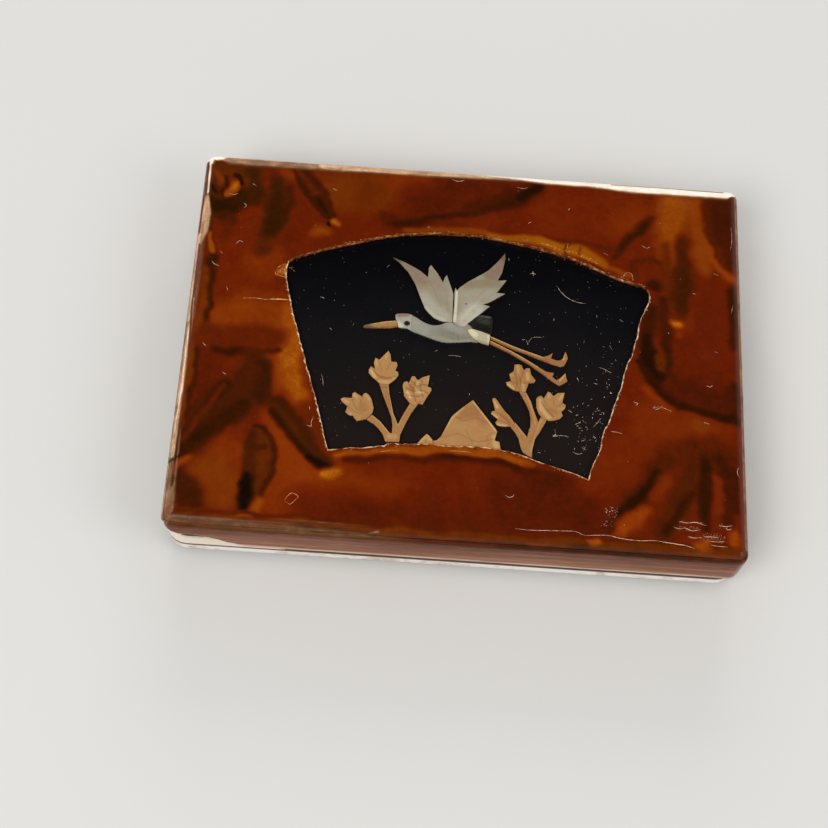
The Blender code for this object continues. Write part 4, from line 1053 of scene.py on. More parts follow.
# The picture's finishes, each with its colours from dark to pale. Warm and cool are hints of two other hues.
inlayLooks = {
    "pearl": {
        "stops": [
            (0.0, (60, 50, 38)), (0.25, (104, 88, 68)), (0.45, (136, 120, 96)), (0.62, (152, 142, 120)),
            (0.78, (170, 166, 148)), (1.0, (206, 200, 172)),
        ],
        "warm": (158, 122, 102), "cool": (148, 152, 122), "hints": 0.25,
        "blush": (142, 104, 104), "groove": (96, 84, 66),
        "clouds": 0.16, "grain": 0.05, "gloss": 0.3, "rough": 0.34,
    },
    "greyShell": {
        "stops": [
            (0.0, (70, 66, 54)), (0.3, (112, 108, 92)), (0.5, (134, 130, 114)), (0.75, (150, 149, 134)),
            (1.0, (176, 176, 160)),
        ],
        "warm": (150, 138, 112), "cool": (122, 128, 118), "hints": 0.3,
        "blush": (130, 120, 96), "groove": (84, 78, 60),
        "clouds": 0.3, "grain": 0.4, "gloss": 0.25, "rough": 0.4,
    },
    "creamShell": {
        "stops": [(0.0, (110, 94, 62)), (0.35, (152, 138, 104)), (0.7, (182, 171, 140)), (1.0, (214, 204, 168))],
        "warm": (190, 166, 120), "cool": (160, 160, 130), "hints": 0.25,
        "blush": (170, 130, 90), "groove": (110, 92, 60),
        "clouds": 0.2, "grain": 0.12, "gloss": 0.25, "rough": 0.4,
    },
    "darkHorn": {
        "stops": [(0.0, (14, 13, 11)), (0.3, (32, 29, 24)), (0.7, (66, 66, 58)), (1.0, (110, 108, 94))],
        "warm": (48, 36, 26), "cool": (34, 40, 36), "hints": 0.3,
        "blush": (60, 40, 24), "groove": (10, 9, 8),
        "clouds": 0.2, "grain": 0.16, "gloss": 0.3, "rough": 0.3,
    },
    "pinkStraw": {
        "stops": [
            (0.0, (72, 44, 22)), (0.3, (126, 82, 44)), (0.55, (156, 108, 64)), (0.8, (184, 144, 84)),
            (1.0, (206, 178, 118)),
        ],
        "warm": (172, 96, 56), "cool": (150, 128, 70), "hints": 0.4,
        "blush": (84, 80, 60), "groove": (84, 46, 24),
        "clouds": 0.2, "grain": 0.22, "gloss": 0.2, "rough": 0.5,
    },
    "straw": {
        "stops": [
            (0.0, (84, 52, 28)), (0.3, (134, 92, 54)), (0.55, (168, 121, 72)), (0.8, (188, 148, 94)),
            (1.0, (214, 182, 124)),
        ],
        "warm": (178, 112, 70), "cool": (160, 132, 76), "hints": 0.35,
        "blush": (150, 82, 46), "groove": (98, 62, 34),
        "clouds": 0.2, "grain": 0.2, "gloss": 0.2, "rough": 0.52,
    },
}

# how every piece of the picture is cut, in millimetres
inlayCut = {"grow": 0.07, "edge": 0.06, "grid": 0.2, "groove": 0.035}

# The picture's pieces: finish, tone from 0 dark to 1 pale, strokes of other tones, and grooves and blushes if any.
# A stroke is its tone, softness and path; a groove or blush has its strength first.
picture = {
    "crane_left_wing": {
        "finish": "pearl", "tone": 0.57,
        "strokes": [
            (0.22, 2.0, [(-14.2, 17.5, 0.3), (-12.9, 16.8, 0.3)]),
            (0.44, 2.0, [(-11.2, 15.7, 0.6), (-8.3, 13.9, 0.8)]),
            (0.54, 1.6, [(-7.0, 15.3, 0.4), (-5.9, 13.4, 0.8)]),
            (0.74, 2.4, [(-8.0, 9.0, 0.6), (-6.4, 6.9, 0.8), (-4.2, 5.8, 0.6)]),
            (0.60, 1.2, [(-4.1, 13.8, 0.2), (-3.4, 10, 0.5)]),
            # a painted highlight along the wing's lower edge
            (0.84, 0.5, [(-7.4, 7.4, 0.1), (-5.7, 5.8, 0.1), (-4.0, 5.2, 0.1)]),
            (0.66, 0.5, [(-3.2, 12.0, 0.1), (-2.8, 6.0, 0.1)]),
        ],
        "grooves": [
            (0.16, 0.16, [(-7.3, 13.6), (-5.9, 10.6), (-4.0, 6.4)]),
            (0.12, 0.16, [(-4.5, 12.8), (-3.8, 9.8), (-3.1, 6.6)]),
        ],
        "blushes": [(0.18, 1.4, [(-10.9, 15.6, 0.5), (-9.0, 14.2, 0.6)]), (0.35, 0.7, [(-3.5, 7.3, 0.1)])],
    },
    "crane_right_wing": {
        "finish": "pearl", "tone": 0.6,
        "strokes": [
            (0.24, 1.6, [(6.6, 19.9, 0.1), (6.3, 18.6, 0.3)]),
            (0.40, 1.8, [(5.6, 17.2, 0.6), (4.4, 15.6, 0.8)]),
            (0.48, 1.0, [(-0.3, 12.9, 0.3), (2.8, 13.5, 0.4), (5.6, 13.6, 0.3)]),
            (0.66, 2.0, [(0.7, 9.8, 1.0), (3.8, 10.6, 0.8)]),
            (0.86, 1.8, [(-0.2, 5.4, 0.6), (1.6, 7.5, 0.8)]),
            (1.00, 0.22, [(-2.0, 11.3, 0.12), (-2.1, 5.2, 0.16)]),
            (0.05, 0.14, [(-0.16, 8.91, 0.1)]),
        ],
        "grooves": [
            (0.14, 0.16, [(5.3, 14.1), (2.4, 11.2), (0.2, 8.0)]),
            (0.14, 0.16, [(5.1, 11.6), (2.6, 9.6), (0.6, 7.0)]),
            (0.12, 0.16, [(2.7, 8.9), (0.6, 6.2)]),
        ],
        "blushes": [(0.22, 1.4, [(5.7, 17.0, 0.4), (4.6, 15.4, 0.5)]), (0.2, 0.9, [(-0.2, 5.3, 0.2)])],
    },
    "crane_head": {
        "finish": "pearl", "tone": 0.72,
        "strokes": [
            (0.95, 0.6, [(-12.4, 3.9, 0.2), (-11.9, 3.5, 0.2)]),
            (0.50, 0.5, [(-12.5, 5.7, 0.1), (-10.7, 5.9, 0.1)]),
        ],
        "blushes": [(0.75, 0.5, [(-12.3, 5.6, 0.12), (-10.9, 5.8, 0.12)])],
    },
    "crane_eye": {
        "finish": "darkHorn", "tone": 0.52,
        "strokes": [(0.12, 0.25, [(-10.8, 4.05, 0.12)])],
    },
    "crane_beak": {
        "finish": "pinkStraw", "tone": 0.62, "grow": 0.02,
        "strokes": [
            # a painted highlight along the upper edge, then a darker lower edge
            (0.95, 0.14, [(-17.6, 3.35, 0.03), (-14.6, 4.1, 0.03), (-12.9, 4.4, 0.03)]),
            (0.30, 0.18, [(-18.4, 2.6, 0.03), (-15.9, 2.8, 0.03), (-12.6, 3.3, 0.03)]),
        ],
        "blushes": [(0.8, 1.4, [(-18.7, 2.7, 0.3), (-18.0, 2.9, 0.2)])],
    },
    "crane_body": {
        "finish": "greyShell", "tone": 0.55,
        "strokes": [
            (0.74, 1.4, [(-9.8, 4.1, 0.6), (-7.6, 3.0, 0.4)]),
            (0.44, 1.0, [(-4.2, 2.8, 0.4), (-1.7, 1.9, 0.5), (0.4, 1.7, 0.3)]),
            (0.70, 0.9, [(-3.4, 4.2, 0.3), (-1.0, 3.4, 0.3)]),
            (0.62, 0.4, [(-6.0, 1.6, 0.1), (-2.4, 1.0, 0.1), (1.0, 1.3, 0.1)]),
        ],
        "grooves": [
            (0.16, 0.12, [(-2.9, 2.7), (-2.8, 1.6)]),
            (0.16, 0.12, [(-2.2, 2.9), (-2.0, 1.5)]),
            (0.16, 0.12, [(-1.4, 2.6), (-1.3, 1.4)]),
            (0.16, 0.12, [(-0.6, 2.7), (-0.5, 1.5)]),
            (0.2, 0.12, [(-4.6, 3.4), (-3.9, 2.2)]),
            (0.2, 0.12, [(-5.4, 3.0), (-4.9, 2.2)]),
        ],
    },
    "crane_rump": {
        "finish": "creamShell", "tone": 0.68,
        "strokes": [
            # a painted highlight
            (1.00, 0.6, [(0.9, 3.4, 0.15), (1.7, 2.7, 0.25)]),
            (0.90, 0.3, [(4.2, 2.6, 0.05), (4.2, 1.2, 0.05)]),
            # painted shade along the lower edge
            (0.40, 0.4, [(2.2, 1.4, 0.1), (4.0, 0.9, 0.05)]),
        ],
    },
    "crane_tail": {
        "finish": "darkHorn", "tone": 0.3,
        "strokes": [
            (0.85, 0.22, [(2.2, 6.6, 0.06), (4.4, 6.4, 0.06)]),
            (0.50, 0.7, [(2.6, 5.7, 0.3), (3.9, 5.4, 0.2)]),
            (0.12, 1.0, [(3.8, 3.8, 0.4), (2.4, 4.2, 0.3)]),
        ],
        "grooves": [(0.6, 0.14, [(1.2, 4.8), (3.2, 6.0)])],
    },
    "crane_upper_leg": {
        "finish": "pinkStraw", "tone": 0.52, "grow": -0.02,
        "strokes": [
            # a painted highlight along the upper edge and painted shade along the lower edge
            (0.92, 0.13, [(4.7, 2.45), (8.7, 0.8), (14.2, -1.0)]),
            (0.24, 0.14, [(4.7, 2.05), (8.7, 0.3), (12.8, -1.05), (15.4, -2.0)]),
            (0.85, 0.2, [(18.1, 0.0, 0.05), (17.9, -1.2, 0.05)]),
        ],
    },
    "crane_lower_leg": {
        "finish": "pinkStraw", "tone": 0.52, "grow": -0.02,
        "strokes": [
            # a painted highlight along the upper edge and painted shade along the lower edge
            (0.92, 0.13, [(4.6, 1.6), (8.1, 0.0), (13.4, -3.0)]),
            (0.24, 0.14, [(4.5, 1.15), (8.1, -0.5), (11.8, -2.6), (14.9, -4.8)]),
            (0.85, 0.25, [(18.3, -4.2, 0.05), (17.4, -5.4, 0.05)]),
        ],
    },
    "left_stems": {
        "finish": "straw", "tone": 0.5,
        "strokes": [
            (0.80, 0.16, [(-15.9, -14.9), (-14.4, -16.0), (-12.7, -18.0)]),
            (0.78, 0.16, [(-13.3, -9.0), (-12.3, -14.0), (-11.3, -16.2)]),
            (0.74, 0.16, [(-11.2, -16.4), (-9.3, -12.3)]),
            (0.70, 0.5, [(-12.6, -18.6, 0.2), (-11.6, -18.6, 0.2)]),
            (0.30, 0.2, [(-15.0, -9.1, 0.05), (-13.5, -9.1, 0.05)]),
        ],
        "blushes": [
            (0.3, 0.5, [(-13.6, -10.4, 0.2), (-13.0, -13.5, 0.2)]),
            (0.3, 0.5, [(-9.6, -13.0, 0.1), (-10.4, -15.2, 0.1)]),
        ],
    },
    "left_flower": {
        "finish": "straw", "tone": 0.6,
        "strokes": [
            (0.84, 0.35, [(-21.4, -12.0, 0.05), (-20.4, -12.6, 0.1)]),
            (0.84, 0.3, [(-19.4, -10.9, 0.05), (-18.9, -11.5, 0.1)]),
            (0.80, 0.3, [(-17.2, -11.0, 0.05), (-16.6, -11.7, 0.1)]),
            (0.48, 0.8, [(-17.6, -13.4, 0.6)]),
            (0.86, 0.3, [(-20.4, -14.9, 0.1), (-19.6, -14.9, 0.05)]),
        ],
        "grooves": [
            (0.5, 0.13, [(-19.6, -11.7), (-19.3, -12.9), (-18.7, -13.8)]),
            (0.5, 0.13, [(-17.9, -11.4), (-18.2, -12.6)]),
            (0.4, 0.13, [(-20.3, -13.3), (-19.1, -14.3), (-17.4, -14.8)]),
        ],
        "blushes": [(0.3, 0.5, [(-17.5, -15.6, 0.2), (-16.5, -14.9, 0.2)])],
    },
    "top_flower": {
        "finish": "straw", "tone": 0.6,
        "strokes": [
            (0.88, 0.4, [(-16.7, -6.0, 0.15), (-15.9, -7.2, 0.15)]),
            (0.80, 0.4, [(-15.0, -8.0, 0.1), (-13.6, -8.1, 0.15), (-12.3, -7.2, 0.1)]),
            (0.82, 0.25, [(-14.0, -2.2, 0.03), (-14.2, -3.4, 0.05)]),
            (0.78, 0.25, [(-15.9, -3.9, 0.05), (-15.7, -4.8, 0.05)]),
        ],
        "grooves": [
            (0.7, 0.12, [(-16.3, -5.9, 0.02), (-15.4, -6.9, 0.03), (-13.9, -7.3, 0.03), (-12.3, -6.9, 0.02)]),
            (0.4, 0.12, [(-15.2, -4.2), (-14.8, -5.8)]),
            (0.4, 0.12, [(-13.3, -4.2), (-13.8, -5.6)]),
        ],
        "blushes": [(0.4, 0.4, [(-15.0, -7.3, 0.1), (-13.0, -7.4, 0.1)])],
    },
    "near_flower": {
        "finish": "straw", "tone": 0.62,
        "strokes": [
            (0.95, 0.35, [(-9.9, -9.8, 0.1), (-9.3, -10.8, 0.1)]),
            (0.92, 0.35, [(-8.2, -9.5, 0.15), (-7.2, -9.7, 0.1)]),
            (0.88, 0.3, [(-8.1, -7.6, 0.05), (-8.4, -8.4, 0.05)]),
            (0.40, 0.3, [(-9.3, -8.4, 0.1), (-9.0, -9.2, 0.1)]),
            (0.86, 0.25, [(-6.2, -6.9, 0.03), (-6.2, -8.0, 0.05)]),
        ],
        "grooves": [
            (0.8, 0.13, [(-9.4, -7.5), (-8.2, -8.6), (-7.1, -8.0), (-6.1, -8.4)]),
            (0.8, 0.13, [(-10.3, -8.9), (-8.8, -9.6), (-7.5, -9.2), (-6.2, -9.8)]),
            (0.7, 0.13, [(-9.9, -10.3), (-8.6, -10.6), (-7.3, -10.3)]),
            (0.7, 0.13, [(-8.6, -7.7), (-8.9, -9.4), (-8.3, -11.6)]),
            (0.7, 0.13, [(-7.4, -7.3), (-7.7, -8.6), (-7.0, -10.6)]),
        ],
        "blushes": [
            (0.6, 0.3, [(-9.6, -8.3, 0.05), (-9.2, -9.2, 0.05)]), (0.4, 0.3, [(-8.0, -11.8, 0.1), (-7.1, -11.3, 0.1)]),
        ],
    },
    "mountain": {
        "finish": "straw", "tone": 0.58,
        "strokes": [
            (0.48, 1.4, [(0.2, -12.9, 1.0), (2.6, -12.2, 0.9), (4.4, -14.6, 0.5)]),
            # a painted highlight along the right edge
            (0.95, 0.18, [(2.0, -10.9, 0.04), (4.0, -13.4, 0.04), (6.1, -16.1, 0.04)]),
            (0.84, 0.3, [(-4.1, -18.6, 0.1), (-1.8, -14.4, 0.1), (0.2, -12.2, 0.05)]),
            (0.80, 0.5, [(6.0, -17.4, 0.2), (6.4, -19.2, 0.3)]),
        ],
        "grooves": [
            (0.35, 0.16, [(-1.5, -13.7), (0.4, -14.7), (2.6, -13.9), (4.6, -14.8)]),
            (0.35, 0.16, [(-3.6, -18.2), (-0.5, -17.2), (2.8, -18.6), (5.8, -17.9)]),
            (0.30, 0.16, [(0.8, -16.4), (2.2, -18.9)]),
            (0.35, 0.14, [(5.8, -16.6), (4.6, -17.4), (5.0, -19.2)]),
        ],
        "blushes": [(0.25, 1.0, [(0.6, -13.2, 0.6), (2.4, -12.4, 0.6)])],
    },
    "foothill": {
        "finish": "straw", "tone": 0.82,
        "strokes": [(0.6, 0.4, [(-6.3, -19.2, 0.2), (-5.2, -19.3, 0.1)])],
        "grooves": [(0.4, 0.14, [(-6.0, -17.9), (-6.1, -19.4)])],
    },
    "right_stems": {
        "finish": "straw", "tone": 0.5,
        "strokes": [
            (0.76, 0.16, [(9.6, -14.6), (11.6, -17.0)]),
            (0.76, 0.16, [(11.5, -8.6), (12.7, -12.0), (13.2, -14.4)]),
            (0.76, 0.16, [(14.2, -13.5), (13.2, -16.4), (12.6, -19.6)]),
            (0.34, 0.2, [(10.3, -8.8, 0.05), (11.3, -8.9, 0.05)]),
        ],
        "blushes": [
            (0.35, 0.5, [(11.6, -10.4, 0.15), (12.5, -13.6, 0.15)]),
            (0.3, 0.5, [(13.2, -15.6, 0.1), (12.4, -18.0, 0.1)]),
        ],
    },
    "right_bud": {
        "finish": "straw", "tone": 0.54,
        "strokes": [
            (0.86, 0.3, [(5.6, -10.3, 0.05), (6.3, -11.6, 0.1)]),
            (0.84, 0.3, [(5.5, -12.9, 0.05), (6.4, -13.6, 0.1)]),
            (0.86, 0.3, [(6.3, -14.9, 0.05), (7.9, -15.1, 0.1)]),
        ],
        "grooves": [
            (0.55, 0.12, [(6.1, -12.5), (7.4, -13.4), (8.7, -14.5)]),
            (0.55, 0.12, [(6.6, -14.0), (8.9, -14.9)]),
        ],
        "blushes": [(0.4, 0.5, [(7.2, -12.9, 0.15), (8.6, -14.3, 0.15)])],
    },
    "leg_flower": {
        "finish": "straw", "tone": 0.5,
        "strokes": [
            (0.82, 0.35, [(11.5, -4.4, 0.1), (11.6, -5.6, 0.15)]),
            (0.86, 0.3, [(8.1, -6.8, 0.1), (9.0, -7.6, 0.1)]),
            (0.74, 0.3, [(9.7, -3.2, 0.1), (9.9, -4.4, 0.1)]),
            (0.74, 0.3, [(8.7, -5.0, 0.1)]),
            (0.72, 0.4, [(10.8, -6.8, 0.15), (10.9, -7.9, 0.1)]),
        ],
        "grooves": [
            (0.6, 0.12, [(10.8, -4.2), (10.3, -5.6), (10.2, -8.0)]),
            (0.55, 0.12, [(9.2, -4.3), (9.6, -5.6), (9.8, -7.6)]),
            (0.55, 0.12, [(8.5, -6.2), (9.5, -6.6)]),
            (0.55, 0.12, [(11.9, -6.3), (10.9, -6.4)]),
        ],
        "blushes": [(0.3, 0.6, [(9.8, -6.0, 0.3)])],
    },
    "right_flower": {
        "finish": "straw", "tone": 0.56,
        "strokes": [
            (0.84, 0.4, [(13.9, -9.6, 0.1), (14.2, -11.4, 0.2), (15.6, -12.9, 0.15)]),
            (0.80, 0.25, [(15.6, -8.2, 0.05), (15.4, -9.0, 0.05)]),
            (0.80, 0.3, [(18.0, -8.2, 0.05), (17.4, -9.2, 0.1)]),
            (0.76, 0.3, [(18.1, -10.9, 0.05), (17.3, -11.0, 0.1)]),
        ],
        "grooves": [
            (0.65, 0.12, [(14.1, -9.9, 0.02), (15.3, -11.5, 0.03), (16.5, -12.7, 0.02)]),
            (0.5, 0.12, [(14.7, -9.5), (15.2, -10.7)]),
            (0.5, 0.12, [(16.3, -8.9), (16.4, -10.4)]),
            (0.4, 0.12, [(17.8, -10.1), (16.9, -10.8)]),
        ],
        "blushes": [(0.35, 0.5, [(15.6, -11.2, 0.2), (16.6, -11.8, 0.2)])],
    },
}


def inlayFinish(name, looks):
    made = Finish(name, IOR=1.5, Specular_IOR_Level=looks["gloss"])
    cloud = made.noise(made.where, 2.4 * mm, 4.0, 0.6, 0.4)
    drift = made.noise(made.where, 1.0 * mm, 3.0, 0.55, 0.5)
    fine = made.noise(made.where, 0.2 * mm, 4.0, 0.7)
    tone = made.attribute("tone") + (cloud - 0.5) * looks["clouds"] + (fine - 0.5) * looks["grain"]
    colour = made.ramp(tone, looks["stops"])
    colour = made.mix(made.step(drift, 0.5, 0.7) * looks["hints"], colour, tint(*looks["warm"]))
    colour = made.mix(made.step(drift, 0.5, 0.3) * looks["hints"], colour, tint(*looks["cool"]))
    colour = made.mix(made.clamp(made.attribute("blush")), colour, tint(*looks["blush"]))
    groove = made.attribute("groove")
    made.give(Base_Color=made.mix(made.clamp(groove), colour, tint(*looks["groove"])))
    made.give(Roughness=looks["rough"] + (fine - 0.5) * 0.1)
    made.relief(fine * (0.004 * mm) + cloud * (0.01 * mm) - groove * (inlayCut["groove"] * mm))
    return made.material


# widens a flat piece a little in plan, rounds its upper edge and cuts it on a fine grid, for its painted tones
def cutInlay(shape, grow):
    grow, edge, grid = grow * mm, inlayCut["edge"] * mm, inlayCut["grid"] * mm
    moves = {}
    for corner in shape.verts:
        walls = []
        for face in corner.link_faces:
            if abs(face.normal.z) < 0.5 and all(face.normal.dot(wall) < 0.9999 for wall in walls):
                walls.append(face.normal.copy())
        if len(walls) > 1:
            both = walls[0] + walls[1]
            move = both / (1 + walls[0].dot(walls[1]))
            moves[corner] = move * min(1, 2.0 / move.length) * grow
        elif walls:
            moves[corner] = walls[0] * grow
    for corner, move in moves.items():
        corner.co.x += move.x
        corner.co.y += move.y
    shape.normal_update()
    # the rim is where a wall, which faces sideways, meets the face that looks up
    rim = [e for e in shape.edges if sorted(round(f.normal.z) for f in e.link_faces) == [0, 1]]
    bmesh.ops.bevel(
        shape, geom=rim, offset=edge, offset_type="OFFSET", segments=2, profile=0.5, affect="EDGES", clamp_overlap=True
    )
    for axis in (0, 1):
        low, high = min(v.co[axis] for v in shape.verts), max(v.co[axis] for v in shape.verts)
        normal = Vector((1 - axis, axis, 0))
        for i in range(1, int((high - low) / grid) + 1):
            parts = shape.verts[:] + shape.edges[:] + shape.faces[:]
            bmesh.ops.bisect_plane(shape, geom=parts, dist=1e-8, plane_co=normal * (low + i * grid), plane_no=normal)


def paintInlay(piece, settings):
    points = np.empty(len(piece.data.vertices) * 3)
    piece.data.vertices.foreach_get("co", points)
    points = points.reshape(-1, 3)[:, :2] / mm
    tone = np.full(len(points), settings["tone"])
    for target, soft, path in settings["strokes"]:
        tone += (target - tone) * coverOf(points, soft, path)
    layers = {"tone": tone}
    for name, strokes in (("groove", "grooves"), ("blush", "blushes")):
        layers[name] = np.zeros(len(points))
        for strength, soft, path in settings.get(strokes, []):
            layers[name] = np.maximum(layers[name], strength * coverOf(points, soft, path))
    storeValues(piece, **layers)


print("crane, flowers and mountains")
finishes = {name: inlayFinish(name, looks) for name, looks in inlayLooks.items()}
for node, settings in picture.items():
    words = node.split("_")
    name = words[0] + "".join(word.title() for word in words[1:])
    finish, grow = settings["finish"], settings.get("grow", inlayCut["grow"])
    piece = smoothCopy(node, name, finishes[finish], "lid", 50, lambda shape: cutInlay(shape, grow))
    paintInlay(piece, settings)


